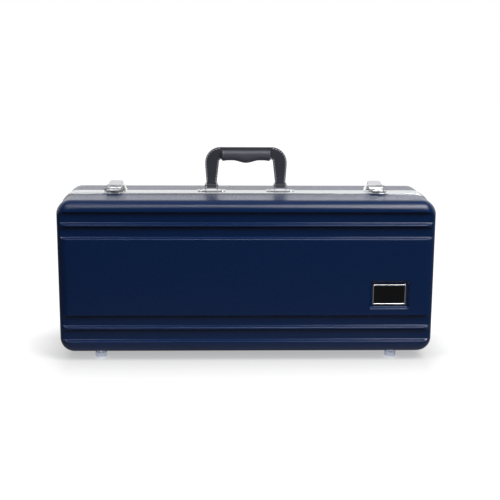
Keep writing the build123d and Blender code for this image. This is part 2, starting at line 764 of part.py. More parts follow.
def make_lever(x, name):
    """The lifted cap: a sloping web between two skirts that turn on the pivots."""
    front_y = CLAW_PIN_Y + CAP_FRONT_BEHIND_PIN
    front_z = VALANCE_TOP + CAP_FRONT_HEIGHT
    rear_z = VALANCE_TOP + CAP_REAR_HEIGHT
    skirt_floor = LATCH_TOP + SKIRT_FLOOR_GAP
    with BuildPart() as lever:
        with BuildSketch(Plane.YZ.offset(x - SKIRT_OUTER)):
            with BuildLine():
                Polyline(
                    (front_y, front_z),
                    (CAP_REAR_Y, rear_z),
                    (CAP_REAR_Y, rear_z - CAP_THICK),
                    (front_y, front_z - CAP_THICK),
                    close=True,
                )
            make_face()
        extrude(amount=2 * SKIRT_OUTER)
        with BuildSketch(Plane(origin=(x, 0, VALANCE_TOP))) as plan:
            with Locations((0, front_y)):
                Rectangle(
                    2 * SKIRT_OUTER, CAP_REAR_Y - front_y, align=(Align.CENTER, Align.MIN)
                )
            fillet(plan.vertices().group_by(Axis.Y)[-1], CAP_CORNER)
        extrude(amount=2 * CAP_REAR_HEIGHT, mode=Mode.INTERSECT)
        lip_top = Plane(origin=(x, front_y + CAP_LIP_THICK / 2, front_z - CAP_THICK / 2))
        lip_drop = CAP_LIP_DROP - CAP_THICK / 2
        with BuildSketch(lip_top):
            Rectangle(2 * SKIRT_OUTER, CAP_LIP_THICK)
        extrude(amount=-lip_drop)
        with BuildSketch(lip_top.offset(-lip_drop)):
            with Locations([(dx, 0) for dx in CAP_NOTCH_X]):
                Rectangle(CAP_NOTCH_WIDTH, 2 * CAP_LIP_THICK)
        extrude(amount=CAP_NOTCH_TALL, mode=Mode.SUBTRACT)
        for start in (x - SKIRT_OUTER, x + SKIRT_INNER):
            with BuildSketch(Plane.YZ.offset(start)):
                with Locations((PIVOT_Y, PIVOT_Z)):
                    Circle(SKIRT_EYE_RADIUS)
                with BuildLine():
                    Polyline(
                        (PIVOT_Y, PIVOT_Z + SKIRT_EYE_RADIUS),
                        (front_y, front_z - CAP_THICK / 2),
                        (CAP_REAR_Y - CAP_CORNER, rear_z - 2 * CAP_THICK),
                        (SKIRT_REAR_Y, skirt_floor),
                        (PIVOT_Y, skirt_floor),
                        close=True,
                    )
                make_face()
            extrude(amount=SKIRT_THICK)
        with BuildSketch(Plane.YZ.offset(x - SKIRT_OUTER)):
            with Locations((PIVOT_Y, PIVOT_Z)):
                Circle(PIVOT_RADIUS + RUNNING_FIT)
            with Locations((CLAW_PIN_Y, CLAW_PIN_Z)):
                Circle(CLAW_PIN_RADIUS + SEAT_FIT)
        extrude(amount=2 * SKIRT_OUTER, mode=Mode.SUBTRACT)
    return finish(lever, name)


def make_claw_pin(x, name):
    """The pin across the lever's skirts that the claw turns on."""
    with BuildPart() as pin:
        with BuildSketch(Plane.YZ.offset(x - SKIRT_OUTER)):
            with Locations((CLAW_PIN_Y, CLAW_PIN_Z)):
                Circle(CLAW_PIN_RADIUS)
        extrude(amount=2 * SKIRT_OUTER)
    return finish(pin, name)


def make_claw(x, name):
    """The claw: a knuckle round its pin and a tapered plate over the strike's lip."""
    tip_y = -CLAW_REACH
    under = VALANCE_TOP + LATCH_PLATE_THICK + LIP_TALL + CLAW_LIP_GAP
    with BuildPart() as claw:
        with BuildSketch(Plane.XY.offset(under)):
            with BuildLine():
                Polyline(
                    (x - CLAW_HALF_WIDTH, CLAW_PIN_Y),
                    (x + CLAW_HALF_WIDTH, CLAW_PIN_Y),
                    (x + CLAW_HALF_WIDTH, 0),
                    (x + CLAW_TIP_HALF_WIDTH, tip_y),
                    (x - CLAW_TIP_HALF_WIDTH, tip_y),
                    (x - CLAW_HALF_WIDTH, 0),
                    close=True,
                )
            make_face()
            with Locations([(x + dx, 0) for dx in CLAW_SLOT_X]):
                SlotOverall(CLAW_SLOT_LENGTH, CLAW_SLOT_WIDTH, rotation=90, mode=Mode.SUBTRACT)
        extrude(amount=CLAW_THICK)
        with BuildSketch(Plane.YZ.offset(x - CLAW_TIP_HALF_WIDTH)):
            with Locations((tip_y, under + CLAW_CURL_RADIUS)):
                Circle(CLAW_CURL_RADIUS)
        extrude(amount=2 * CLAW_TIP_HALF_WIDTH)
        with BuildSketch(Plane.YZ.offset(x - CLAW_HALF_WIDTH)):
            with Locations((CLAW_PIN_Y, CLAW_PIN_Z)):
                Circle(CLAW_KNUCKLE_RADIUS)
        extrude(amount=2 * CLAW_HALF_WIDTH)
        with BuildSketch(Plane.YZ.offset(x - CLAW_HALF_WIDTH)):
            with Locations((CLAW_PIN_Y, CLAW_PIN_Z)):
                Circle(CLAW_PIN_RADIUS + RUNNING_FIT)
        extrude(amount=2 * CLAW_HALF_WIDTH, mode=Mode.SUBTRACT)
    return finish(claw, name)


# Handle
def make_bracket(x, rivets, name):
    """A plate riveted to the base's valance with two upright ears for the handle's pin."""
    ear_inner = LEG_FOOT_WIDTH / 2 + BRACKET_EAR_CLEARANCE
    ear_centre = VALANCE_TOP + BRACKET_EAR_HEIGHT - BRACKET_EAR_WIDTH / 2
    with BuildPart() as bracket:
        with BuildSketch(Plane(origin=(x, HANDLE_Y, VALANCE_TOP))):
            SlotOverall(BRACKET_LENGTH, BRACKET_WIDTH)
        extrude(amount=BRACKET_THICK)
        for start in (x - ear_inner - BRACKET_THICK, x + ear_inner):
            with BuildSketch(Plane.YZ.offset(start)):
                with Locations((HANDLE_Y, ear_centre)):
                    Circle(BRACKET_EAR_WIDTH / 2)
                with Locations((HANDLE_Y, (VALANCE_TOP + BRACKET_THICK / 2 + ear_centre) / 2)):
                    Rectangle(BRACKET_EAR_WIDTH, ear_centre - VALANCE_TOP - BRACKET_THICK / 2)
                with Locations((HANDLE_Y, HANDLE_PIN_Z)):
                    Circle(HANDLE_PIN_RADIUS + SEAT_FIT, mode=Mode.SUBTRACT)
            extrude(amount=BRACKET_THICK)
        drill_vertical(
            rivets, VALANCE_TOP, VALANCE_TOP + BRACKET_THICK, RIVET_RADIUS + SEAT_FIT
        )
    return finish(bracket, name)


def make_handle_pin(x, name):
    """The headed pin across a bracket's ears."""
    reach = LEG_FOOT_WIDTH / 2 + BRACKET_EAR_CLEARANCE + BRACKET_THICK
    with BuildPart() as pin:
        with BuildSketch(Plane(origin=(x - reach, HANDLE_Y, HANDLE_PIN_Z), z_dir=(1, 0, 0))):
            Circle(HANDLE_PIN_RADIUS)
        extrude(amount=2 * reach)
        for start in (x - reach - HANDLE_PIN_HEAD, x + reach):
            with BuildSketch(Plane(origin=(start, HANDLE_Y, HANDLE_PIN_Z), z_dir=(1, 0, 0))):
                Circle(HANDLE_PIN_RADIUS + HANDLE_PIN_HEAD)
            extrude(amount=HANDLE_PIN_HEAD)
    return finish(pin, name)


def strap_outline(inset):
    """The handle's arch seen from the front, drawn in by an inset."""
    foot_outer = HANDLE_PIN_X + LEG_FOOT_WIDTH / 2
    foot_inner = HANDLE_PIN_X - LEG_FOOT_WIDTH / 2
    head_outer = HANDLE_WIDTH / 2
    head_inner = head_outer - LEG_HEAD_WIDTH
    head_z = VALANCE_TOP + LEG_HEAD_HEIGHT
    bar_z = HANDLE_TOP - TOP_BAR_TALL
    lean = (foot_inner - head_inner) / (head_z - HANDLE_PIN_Z)
    inner_top = head_inner - lean * (bar_z - head_z)
    with BuildSketch() as arch:
        with BuildLine():
            Polyline(
                (foot_inner, HANDLE_PIN_Z),
                (inner_top, bar_z),
                (-inner_top, bar_z),
                (-foot_inner, HANDLE_PIN_Z),
                (-foot_outer, HANDLE_PIN_Z),
                (-head_outer, head_z),
                (-head_outer, HANDLE_TOP),
                (head_outer, HANDLE_TOP),
                (head_outer, head_z),
                (foot_outer, HANDLE_PIN_Z),
                close=True,
            )
        make_face()
        corners = arch.vertices()
        fillet(corners.group_by(Axis.Y)[-1], HANDLE_CORNER)
        under_bar = [v for v in arch.vertices() if abs(v.Y - bar_z) < SEAT_FIT]
        fillet(under_bar, HANDLE_INNER_CORNER)
        if inset:
            offset(amount=-inset, kind=Kind.INTERSECTION, mode=Mode.REPLACE)
    return arch.sketch


def pin_cylinders(radius, half_length):
    """Round bars along both handle pins' axes."""
    with BuildPart() as bars:
        for x in (-HANDLE_PIN_X, HANDLE_PIN_X):
            with BuildSketch(
                Plane(origin=(x - half_length, HANDLE_Y, HANDLE_PIN_Z), z_dir=(1, 0, 0))
            ):
                Circle(radius)
            extrude(amount=2 * half_length)
    return bars.part


def make_leather(front, name):
    """One leather face of the strap, hollowed at the back for the steel core and the bushes."""
    half_foot = LEG_FOOT_WIDTH / 2
    direction = -1 if front else 1
    middle = Plane(origin=(0, HANDLE_Y, 0), x_dir=(1, 0, 0), z_dir=(0, -1, 0))
    with BuildPart() as leather:
        with BuildSketch(middle):
            add(strap_outline(0))
        extrude(amount=-direction * STRAP_HALF)
        add(pin_cylinders(LEG_END_RADIUS, half_foot))
        with BuildSketch(middle):
            add(strap_outline(CORE_INSET))
        extrude(amount=CORE_THICK / 2, both=True, mode=Mode.SUBTRACT)
        add(pin_cylinders(BUSH_RADIUS, half_foot + BRACKET_EAR_CLEARANCE), mode=Mode.SUBTRACT)
        with Locations((0, HANDLE_Y - direction * HANDLE_WIDTH / 2, HANDLE_TOP - HANDLE_RISE / 2)):
            Box(2 * HANDLE_WIDTH, HANDLE_WIDTH, 2 * HANDLE_WIDTH, mode=Mode.SUBTRACT)
    return finish(leather, name)


def make_handle_core():
    """The steel plate inside the strap, standing on the two bushes."""
    middle = Plane(origin=(0, HANDLE_Y, 0), x_dir=(1, 0, 0), z_dir=(0, -1, 0))
    with BuildPart() as core:
        with BuildSketch(middle):
            add(strap_outline(CORE_INSET + SEAT_FIT))
        extrude(amount=CORE_THICK / 2, both=True)
        add(pin_cylinders(BUSH_RADIUS, LEG_FOOT_WIDTH / 2), mode=Mode.SUBTRACT)
    finish(core, "handle_core")
    with BuildPart() as bushes:
        add(pin_cylinders(BUSH_RADIUS, LEG_FOOT_WIDTH / 2))
        add(
            pin_cylinders(HANDLE_PIN_RADIUS + RUNNING_FIT, LEG_FOOT_WIDTH / 2), mode=Mode.SUBTRACT
        )
    finish(bushes, "handle_bushes")


def make_grip():
    """The padded grip round the strap's top bar, with one finger swell under its middle."""
    top = HANDLE_TOP - BAND_ABOVE_GRIP
    half = (
        (0.0, GRIP_BULGE),
        (GRIP_BULGE_SPAN * 0.25, GRIP_BULGE * 0.9),
        (GRIP_BULGE_SPAN * 0.5, GRIP_BULGE * 0.6),
        (GRIP_BULGE_SPAN * 0.8, GRIP_BULGE * 0.2),
        (GRIP_BULGE_SPAN * 1.1, 0.0),
        (GRIP_HALF_LENGTH - GRIP_RADIUS / 2, GRIP_BULGE * 0.2),
        (GRIP_HALF_LENGTH, -GRIP_BULGE * 0.2),
    )
    stations = [(-x, swell) for x, swell in reversed(half[1:])] + list(half)
    with BuildPart() as grip:
        for x, swell in stations:
            tall = GRIP_TALL + swell
            station = Plane(origin=(x, HANDLE_Y, top - tall / 2), x_dir=(0, 1, 0), z_dir=(1, 0, 0))
            with BuildSketch(station):
                RectangleRounded(GRIP_THICK, tall, GRIP_RADIUS)
        loft(ruled=True)
        with Locations((0, HANDLE_Y, HANDLE_TOP - TOP_BAR_TALL)):
            Box(
                3 * GRIP_HALF_LENGTH,
                2 * STRAP_HALF + 2 * SEAT_FIT,
                2 * TOP_BAR_TALL,
                align=(Align.CENTER, Align.CENTER, Align.MIN),
                mode=Mode.SUBTRACT,
            )
    return finish(grip, "handle_grip")


# Interior
def foam_block(side, face):
    """The block that fills one half, from a given distance behind the seam."""
    with BuildPart() as block:
        with BuildSketch(half_plane(side, face, z=CENTRE_Z)):
            case_outline(-FOAM_INSET)
        extrude(amount=FOAM_BACK - face)
        far_face = block.faces().sort_by(Axis.Y)[0 if side == LID else -1]
        fillet(far_face.edges(), FACE_FILLET - WALL)
    return block.part


def pocket_layout():
    """Edges of the area that the pockets share: left, right, bottom and top."""
    right = CASE_LENGTH / 2 - FOAM_INSET - POCKET_WALL
    top = SHELL_TOP - FOAM_INSET - POCKET_WALL
    return (-right, right, SHELL_BOTTOM + FOAM_INSET + POCKET_WALL, top)


def pocket(left, bottom, width, tall, depth, grow):
    """One rounded pocket in the base foam, cut from the seam."""
    centre = (left + width / 2, bottom + tall / 2)
    with BuildPart() as cut:
        with BuildSketch(half_plane(BASE, 0, centre[0], centre[1])):
            RectangleRounded(width + 2 * grow, tall + 2 * grow, POCKET_RADIUS + grow)
        extrude(amount=depth + grow)
    return cut.part


def instrument_pocket(grow):
    """The wells for the instrument's body, bow and bell, less the island between them."""
    left, right, bottom, top = pocket_layout()
    body_top = bottom + BODY_WIDTH
    bell_bottom = top - BELL_WIDTH
    bow_top = bottom + BOW_TALL
    neck_top = top - (BELL_WIDTH - BELL_NECK_WIDTH) / 2
    with BuildPart() as wells:
        with BuildSketch(Plane(origin=(0, 0, 0), x_dir=(1, 0, 0), z_dir=(0, -1, 0))):
            with Locations(((left + right) / 2, (bottom + body_top) / 2)):
                RectangleRounded(
                    right - left + 2 * grow, BODY_WIDTH + 2 * grow, BODY_WIDTH / 3 + grow
                )
            with Locations((right - BOW_WIDTH / 2, (bottom + bow_top) / 2)):
                RectangleRounded(BOW_WIDTH + 2 * grow, BOW_TALL + 2 * grow, BOW_WIDTH / 3 + grow)
        extrude(amount=-(BODY_DEPTH + grow))
        with BuildSketch(Plane(origin=(0, 0, 0), x_dir=(1, 0, 0), z_dir=(0, -1, 0))):
            with BuildLine():
                Polyline(
                    (BELL_MOUTH_X - grow, bell_bottom - grow),
                    (BELL_MOUTH_X - grow, top + grow),
                    (BELL_MOUTH_X + BELL_NECK_WIDTH, top + grow),
                    (right - BOW_WIDTH / 2, neck_top + grow),
                    (right - BOW_WIDTH / 2, neck_top - BELL_NECK_WIDTH - grow),
                    close=True,
                )
            make_face()
        extrude(amount=-(BELL_DEPTH + grow))
        with Locations(
            ((BELL_MOUTH_X + right - BOW_WIDTH) / 2, (BODY_DEPTH + grow) / 2, body_top)
        ):
            Box(
                ISLAND_LENGTH - 2 * grow,
                2 * BELL_DEPTH,
                ISLAND_WIDTH - 2 * grow,
                mode=Mode.SUBTRACT,
            )
    return wells.part


def small_pockets(grow):
    """Left, bottom, width, height and depth of the pockets beside the instrument."""
    left, _, bottom, top = pocket_layout()
    shelf = bottom + BODY_WIDTH + POCKET_WALL
    accessory_left = BELL_MOUTH_X - POCKET_WALL - ACCESSORY_LENGTH
    gap_top = top - NECK_TALL - POCKET_WALL
    strap_left = left + MOUTHPIECE_LENGTH + POCKET_WALL
    return [
        pocket(left, top - NECK_TALL, NECK_LENGTH, NECK_TALL, NECK_DEPTH, grow),
        pocket(left, shelf, MOUTHPIECE_LENGTH, gap_top - shelf, SMALL_POCKET_DEPTH, grow),
        pocket(
            strap_left,
            shelf,
            left + NECK_LENGTH - strap_left,
            gap_top - shelf,
            SMALL_POCKET_DEPTH,
            grow,
        ),
        pocket(accessory_left, shelf, ACCESSORY_LENGTH, top - shelf, ACCESSORY_DEPTH, grow),
    ]


def make_base_interior():
    """The fitted foam bed and its plush lining."""
    with BuildPart() as foam:
        add(foam_block(BASE, FOAM_FACE + PLUSH_THICK))
        add(instrument_pocket(PLUSH_THICK), mode=Mode.SUBTRACT)
        for cut in small_pockets(PLUSH_THICK):
            add(cut, mode=Mode.SUBTRACT)
    finish(foam, "base_foam")
    with BuildPart() as plush:
        add(foam_block(BASE, FOAM_FACE))
        add(foam.part, mode=Mode.SUBTRACT)
        add(instrument_pocket(0), mode=Mode.SUBTRACT)
        for cut in small_pockets(0):
            add(cut, mode=Mode.SUBTRACT)
    finish(plush, "base_plush")


def lid_recess(grow):
    """The wide recess in the lid's foam over the instrument."""
    left, right, bottom, top = pocket_layout()
    trim = LID_RECESS_MARGIN - POCKET_WALL
    with BuildPart() as cut:
        with BuildSketch(half_plane(LID, 0, (left + right) / 2, (bottom + top) / 2)):
            RectangleRounded(
                right - left - 2 * trim + 2 * grow,
                top - bottom - 2 * trim + 2 * grow,
                LID_RECESS_RADIUS + grow,
            )
        extrude(amount=LID_RECESS_DEPTH + grow)
    return cut.part


def make_lid_interior():
    """The lid's foam pad and its plush lining."""
    with BuildPart() as foam:
        add(foam_block(LID, FOAM_FACE + PLUSH_THICK))
        add(lid_recess(PLUSH_THICK), mode=Mode.SUBTRACT)
    finish(foam, "lid_foam")
    with BuildPart() as plush:
        add(foam_block(LID, FOAM_FACE))
        add(foam.part, mode=Mode.SUBTRACT)
        add(lid_recess(0), mode=Mode.SUBTRACT)
    finish(plush, "lid_plush")


# Assembly
make_shell(BASE, "base_shell")
make_shell(LID, "lid_shell")
make_valance(BASE, "base_valance")
make_valance(LID, "lid_valance")
make_badge()
make_feet(BASE, "base_feet", "base_foot_screws")
make_feet(LID, "lid_feet", "lid_foot_screws")
for number, hinge_x in enumerate(HINGE_X, start=1):
    make_hinge_leaf(BASE, hinge_x, f"hinge_base_leaf_{number}")
    make_hinge_leaf(LID, hinge_x, f"hinge_lid_leaf_{number}")
    make_hinge_pin(hinge_x, f"hinge_pin_{number}")
leaf_shank = HINGE_LEAF_THICK + VALANCE_PROUD
leaf_under = VALANCE_BOTTOM - HINGE_LEAF_THICK
make_rivets(hinge_rivets_at(BASE), leaf_under, leaf_shank, False, "hinge_base_rivets")
make_rivets(hinge_rivets_at(LID), leaf_under, leaf_shank, False, "hinge_lid_rivets")
for side_sign, hand in ((LEFT, "left"), (RIGHT, "right")):
    latch_x = side_sign * LATCH_X
    make_latch_base(latch_x, latch_base_rivets_at(side_sign), f"latch_base_{hand}")
    make_strike(latch_x, strike_rivets_at(side_sign), f"latch_strike_{hand}")
    make_pivots(latch_x, f"lever_pivots_{hand}")
    make_lever(latch_x, f"lever_{hand}")
    make_claw_pin(latch_x, f"claw_pin_{hand}")
    make_claw(latch_x, f"claw_{hand}")
    bracket_x = side_sign * HANDLE_PIN_X
    make_bracket(bracket_x, bracket_rivets_at(side_sign), f"handle_bracket_{hand}")
    make_handle_pin(bracket_x, f"handle_pin_{hand}")
plate_shank = LATCH_PLATE_THICK + VALANCE_PROUD
bracket_shank = BRACKET_THICK + VALANCE_PROUD
base_rivets = latch_base_rivets_at(LEFT) + latch_base_rivets_at(RIGHT)
strike_rivets = strike_rivets_at(LEFT) + strike_rivets_at(RIGHT)
bracket_rivets = bracket_rivets_at(LEFT) + bracket_rivets_at(RIGHT)
make_rivets(base_rivets, LATCH_TOP, plate_shank, True, "latch_base_rivets")
make_rivets(strike_rivets, LATCH_TOP, plate_shank, True, "latch_strike_rivets")
make_rivets(
    bracket_rivets, VALANCE_TOP + BRACKET_THICK, bracket_shank, True, "handle_bracket_rivets"
)
make_leather(True, "handle_leather_front")
make_leather(False, "handle_leather_back")
make_handle_core()
make_grip()
make_base_interior()
make_lid_interior()
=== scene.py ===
# %% [markdown]
# # An alto saxophone case
# The case has two vacuum-formed plastic halves that meet in an aluminium valance, and it
# stands on its feet with the handle up. The CAD model gives each piece its size, place and
# motion. This script gives the pieces the shape and finish that the eye sees.

# %% Set up
import json
import math

import bmesh
import bpy
from mathutils import Matrix, Vector


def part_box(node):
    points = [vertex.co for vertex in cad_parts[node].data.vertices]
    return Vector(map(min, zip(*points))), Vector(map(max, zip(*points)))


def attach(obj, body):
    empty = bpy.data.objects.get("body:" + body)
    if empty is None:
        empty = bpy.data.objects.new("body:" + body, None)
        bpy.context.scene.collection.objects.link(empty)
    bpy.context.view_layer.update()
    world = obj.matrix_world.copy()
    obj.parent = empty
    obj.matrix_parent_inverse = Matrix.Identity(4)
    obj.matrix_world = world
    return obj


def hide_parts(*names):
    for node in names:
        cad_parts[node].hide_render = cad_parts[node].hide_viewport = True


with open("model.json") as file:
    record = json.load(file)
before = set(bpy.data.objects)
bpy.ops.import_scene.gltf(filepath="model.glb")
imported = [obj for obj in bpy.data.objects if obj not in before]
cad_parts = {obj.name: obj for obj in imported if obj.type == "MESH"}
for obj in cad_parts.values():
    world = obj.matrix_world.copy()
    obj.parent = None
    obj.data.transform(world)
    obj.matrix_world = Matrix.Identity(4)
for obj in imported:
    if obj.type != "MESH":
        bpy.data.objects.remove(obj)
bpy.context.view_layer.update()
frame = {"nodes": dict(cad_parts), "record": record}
MM = 0.001

# %% [markdown]
# ## Sizes read from the frame
# The big sizes come from the boxes of the CAD nodes, so a change to the CAD model carries
# through to the pieces made here. Radii, the wall and the channels can't be read off a box, so
# they are stated again, as the CAD model has them.

# %% Main sizes
shell_low, shell_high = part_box("lid_shell")
base_low, base_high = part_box("base_shell")
valance_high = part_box("base_valance")[1]
LENGTH = shell_high.x - shell_low.x
HEIGHT = shell_high.z - shell_low.z
HALF_DEPTH = base_high.y
CENTRE_Z = (shell_high.z + shell_low.z) / 2
WEB = base_low.y
PROUD = valance_high.z - shell_high.z
VALANCE_WIDTH = valance_high.y
OUTLINE_RADIUS = 24.5 * MM
FACE_FILLET = 19 * MM
WALL = 3 * MM
LID, BASE = -1, 1
print(f"case {LENGTH:.3f} x {2 * HALF_DEPTH:.3f} x {HEIGHT:.3f} m")

# %% [markdown]
# ## Materials
# Each finish is a small tree of nodes. One function adds a node with its settings and links,
# and one turns a colour as it is seen on a screen into the linear light that Cycles works in.
# Patterns read Object coordinates, which stay with a piece when the lid swings.


# %% Colour and node helpers
def linear(hex_colour):
    channels = [int(hex_colour[i : i + 2], 16) / 255 for i in (1, 3, 5)]
    curve = [c / 12.92 if c <= 0.04045 else ((c + 0.055) / 1.055) ** 2.4 for c in channels]
    return (*curve, 1.0)


def feed(tree, node, **inputs):
    """Set or link inputs, by name with _ for a space or by number as i0, i1 and so on."""
    for key, value in inputs.items():
        number = key[1:]
        socket = node.inputs[int(number) if number.isdigit() else key.replace("_", " ")]
        if isinstance(value, bpy.types.Node):
            value = value.outputs[0]
        if isinstance(value, bpy.types.NodeSocket):
            tree.links.new(value, socket)
        else:
            socket.default_value = value


def add_node(tree, kind, settings=None, **inputs):
    node = tree.nodes.new("ShaderNode" + kind)
    for key, value in (settings or {}).items():
        setattr(node, key, value)
    feed(tree, node, **inputs)
    return node


def new_material(name, colour, roughness, metallic=0.0, **sockets):
    material = bpy.data.materials.new(name)
    material.use_nodes = True
    tree = material.node_tree
    shader = tree.nodes["Principled BSDF"]
    feed(
        tree,
        shader,
        Base_Color=linear(colour),
        Roughness=roughness,
        Metallic=metallic,
        **sockets,
    )
    return material, tree, shader


print("helpers ready; mid grey is", [round(c, 3) for c in linear("#808080")])

# %% [markdown]
# ### ABS, vacuum-formed over an embossed mould
# The shell is navy ABS sheet drawn over a mould. Its skin is glossy, with a diamond grain
# that breaks each highlight into points. An image could carry such a grain, but it would
# smear round the corners. Here it is two crossing families of ridges, worked out on the face
# that each spot belongs to. The real grain is about a millimetre apart, too fine to show in a
# picture of the whole case, so it is drawn as coarse as it needs to be to show.

# %% Navy shell
GRAIN_PITCH = 4.6 * MM
GRAIN_HEIGHT = 0.08 * MM
abs_navy, tree, shader = new_material(
    "ABS navy, vacuum-formed over an embossed mould", "#03214B", 0.19, Specular_IOR_Level=0.5
)
coordinates = add_node(tree, "TexCoord").outputs
place = add_node(tree, "SeparateXYZ", Vector=coordinates["Object"]).outputs
facing = add_node(tree, "SeparateXYZ", Vector=coordinates["Normal"]).outputs
face_grains = []
for across, along, normal in ((0, 2, 1), (0, 1, 2), (1, 2, 0)):
    ridges = []
    for slant in ("ADD", "SUBTRACT"):
        line = add_node(tree, "Math", {"operation": slant}, i0=place[across], i1=place[along])
        turns = add_node(
            tree, "Math", {"operation": "MULTIPLY"}, i0=line, i1=math.tau / GRAIN_PITCH
        )
        ridges.append(add_node(tree, "Math", {"operation": "SINE"}, i0=turns))
    diamond = add_node(tree, "Math", {"operation": "ADD"}, i0=ridges[0], i1=ridges[1])
    tilt = add_node(tree, "Math", {"operation": "ABSOLUTE"}, i0=facing[normal])
    share = add_node(tree, "Math", {"operation": "POWER"}, i0=tilt, i1=2.0)
    face_grains.append(add_node(tree, "Math", {"operation": "MULTIPLY"}, i0=diamond, i1=share))
grain = face_grains[0]
for face_grain in face_grains[1:]:
    grain = add_node(tree, "Math", {"operation": "ADD"}, i0=grain, i1=face_grain)
relief = add_node(tree, "Bump", Height=grain, Distance=GRAIN_HEIGHT, Strength=1.0)
feed(tree, shader, Normal=relief)
print(abs_navy.name, "with", len(tree.nodes), "nodes")

# %% [markdown]
# ### Aluminium, plated steel and lacquered zinc
# The valance is an aluminium extrusion with a satin anodised skin, drawn out lengthwise, so
# its fine lines run along it. Latch plates and brackets are pressed steel with bright chrome,
# which mirrors lamp and floor in hard patches. The levers have satin chrome, which is softer
# and paler. The feet are cast zinc under silver lacquer, so they stay light in the case's
# shadow, where a painted glow in the paper under the case lights them. Hinges, pins and rivets
# have nickel, which is duller and warmer. All of them are the same tree: fine noise, stretched
# where a metal's lines have a direction, varies the roughness and gives a very shallow relief.

# %% Metals
LINE_SPACING = 0.4 * MM
LINE_HEIGHT = 0.002 * MM


def streaked_metal(name, colour, roughness, streak, stretch=(1, 1, 1), metallic=1.0):
    """A metal whose fine lines run along each axis that has a small stretch."""
    material, tree, shader = new_material(name, colour, roughness, metallic)
    spot = add_node(tree, "TexCoord").outputs["Object"]
    stretched = add_node(tree, "Mapping", Vector=spot, Scale=stretch)
    lines = add_node(tree, "TexNoise", Vector=stretched, Scale=1 / LINE_SPACING, Detail=3.0)
    spread = add_node(
        tree,
        "MapRange",
        Value=lines,
        To_Min=roughness * (1 - streak),
        To_Max=roughness * (1 + streak),
    )
    relief = add_node(tree, "Bump", Height=lines, Distance=LINE_HEIGHT, Strength=streak)
    feed(tree, shader, Roughness=spread, Normal=relief)
    print("metal:", name)
    return material


anodised = streaked_metal(
    "Aluminium, extruded and anodised", "#E6E8EB", 0.20, 0.3, stretch=(0.02, 1, 0.02)
)
chrome = streaked_metal("Steel, pressed and chrome plated", "#ECEDF0", 0.14, 0.2)
satin = streaked_metal("Steel, pressed and satin chromed", "#ECEDF0", 0.2, 0.2, metallic=0.8)
silver = streaked_metal("Zinc, cast and silver lacquered", "#DFE6F8", 0.25, 0.2, metallic=0.45)
nickel = streaked_metal(
    "Steel, pressed and nickel plated", "#C4C2BC", 0.22, 0.3, stretch=(1, 0.1, 1)
)

# %% [markdown]
# ### Badge plate
# The plate in the lid's pocket is bare moulded plastic with a polished face. A faint mottle
# keeps its mirror from looking like glass.

# %% Badge plate
MOTTLE_SIZE = 1.2 * MM
MOTTLE_HEIGHT = 0.01 * MM
badge_black, tree, shader = new_material("ABS black, moulded and polished", "#08090B", 0.18)
spot = add_node(tree, "TexCoord").outputs["Object"]
mottle = add_node(tree, "TexNoise", Vector=spot, Scale=1 / MOTTLE_SIZE, Detail=2.0)
relief = add_node(tree, "Bump", Height=mottle, Distance=MOTTLE_HEIGHT, Strength=0.4)
feed(tree, shader, Normal=relief)
print(badge_black.name)

# %% [markdown]
# ### Leather
# The handle's straps are black cowhide with a pressed grain of small rounded cells. Wider
# creases run across the cells and change the gloss a little, as on leather that is handled.
# The grip has the same grain, in a copy of the leather that is painted lighter for the light
# that falls on the grip's top.

# %% Leather
GRAIN_CELL = 1.1 * MM
CREASE_SPACING = GRAIN_CELL / 0.3
GRAIN_RELIEF = 0.25 * MM
leather, tree, shader = new_material(
    "Cowhide, dyed black and grain-pressed", "#35363E", 0.42, Specular_IOR_Level=0.5
)
spot = add_node(tree, "TexCoord").outputs["Object"]
cells = add_node(
    tree, "TexVoronoi", {"feature": "SMOOTH_F1"}, Vector=spot, Scale=1 / GRAIN_CELL
)
creases = add_node(tree, "TexNoise", Vector=spot, Scale=1 / CREASE_SPACING, Detail=4.0)
skin = add_node(tree, "Math", {"operation": "ADD"}, i0=cells, i1=creases)
relief = add_node(tree, "Bump", Height=skin, Distance=GRAIN_RELIEF, Strength=0.7)
gloss = add_node(tree, "MapRange", Value=creases, To_Min=0.36, To_Max=0.54)
feed(tree, shader, Normal=relief, Roughness=gloss)

# Painted light: the grip's copy of the leather is lighter because the grip's top is lit.
painted_lit_grip_leather = leather.copy()
painted_lit_grip_leather.name = "Cowhide, grain-pressed, painted lighter for the lit grip"
tree = painted_lit_grip_leather.node_tree
feed(tree, tree.nodes["Principled BSDF"], Base_Color=linear("#4B4C55"))
print(leather.name, "and", painted_lit_grip_leather.name)

# %% [markdown]
# ### Thread
# The straps are sewn with pale twisted polyester. Slanted bands across each stitch are its
# twist. The grip is closed with waxed black thread, which has a matt fuzz and no clear twist.

# %% Thread
TWISTS_PER_METRE = 0.3 / MM
FUZZ_SIZE = 0.3 * MM
THREAD_RELIEF = 0.05 * MM
thread, tree, shader = new_material("Polyester thread, twisted", "#E2E3E8", 0.6)
twist = add_node(
    tree,
    "TexWave",
    {"wave_type": "BANDS", "bands_direction": "DIAGONAL"},
    Vector=add_node(tree, "TexCoord").outputs["Object"],
    Scale=TWISTS_PER_METRE,
)
relief = add_node(tree, "Bump", Height=twist, Distance=THREAD_RELIEF, Strength=0.6)
feed(tree, shader, Normal=relief)

dark_thread, tree, shader = new_material("Polyester thread, waxed black", "#16161A", 0.5)
spot = add_node(tree, "TexCoord").outputs["Object"]
fuzz = add_node(tree, "TexNoise", Vector=spot, Scale=1 / FUZZ_SIZE)
relief = add_node(tree, "Bump", Height=fuzz, Distance=THREAD_RELIEF, Strength=0.6)
feed(tree, shader, Normal=relief)
print(thread.name, "and", dark_thread.name)

# %% [markdown]
# ### Plush and foam
# The lining is a knitted fabric with a short brushed pile. Its tips catch light at a slant,
# which is what Sheen does, and wide soft patches show where the pile lies the other way. The
# foam under it is cut with a hot wire, which leaves open pores.

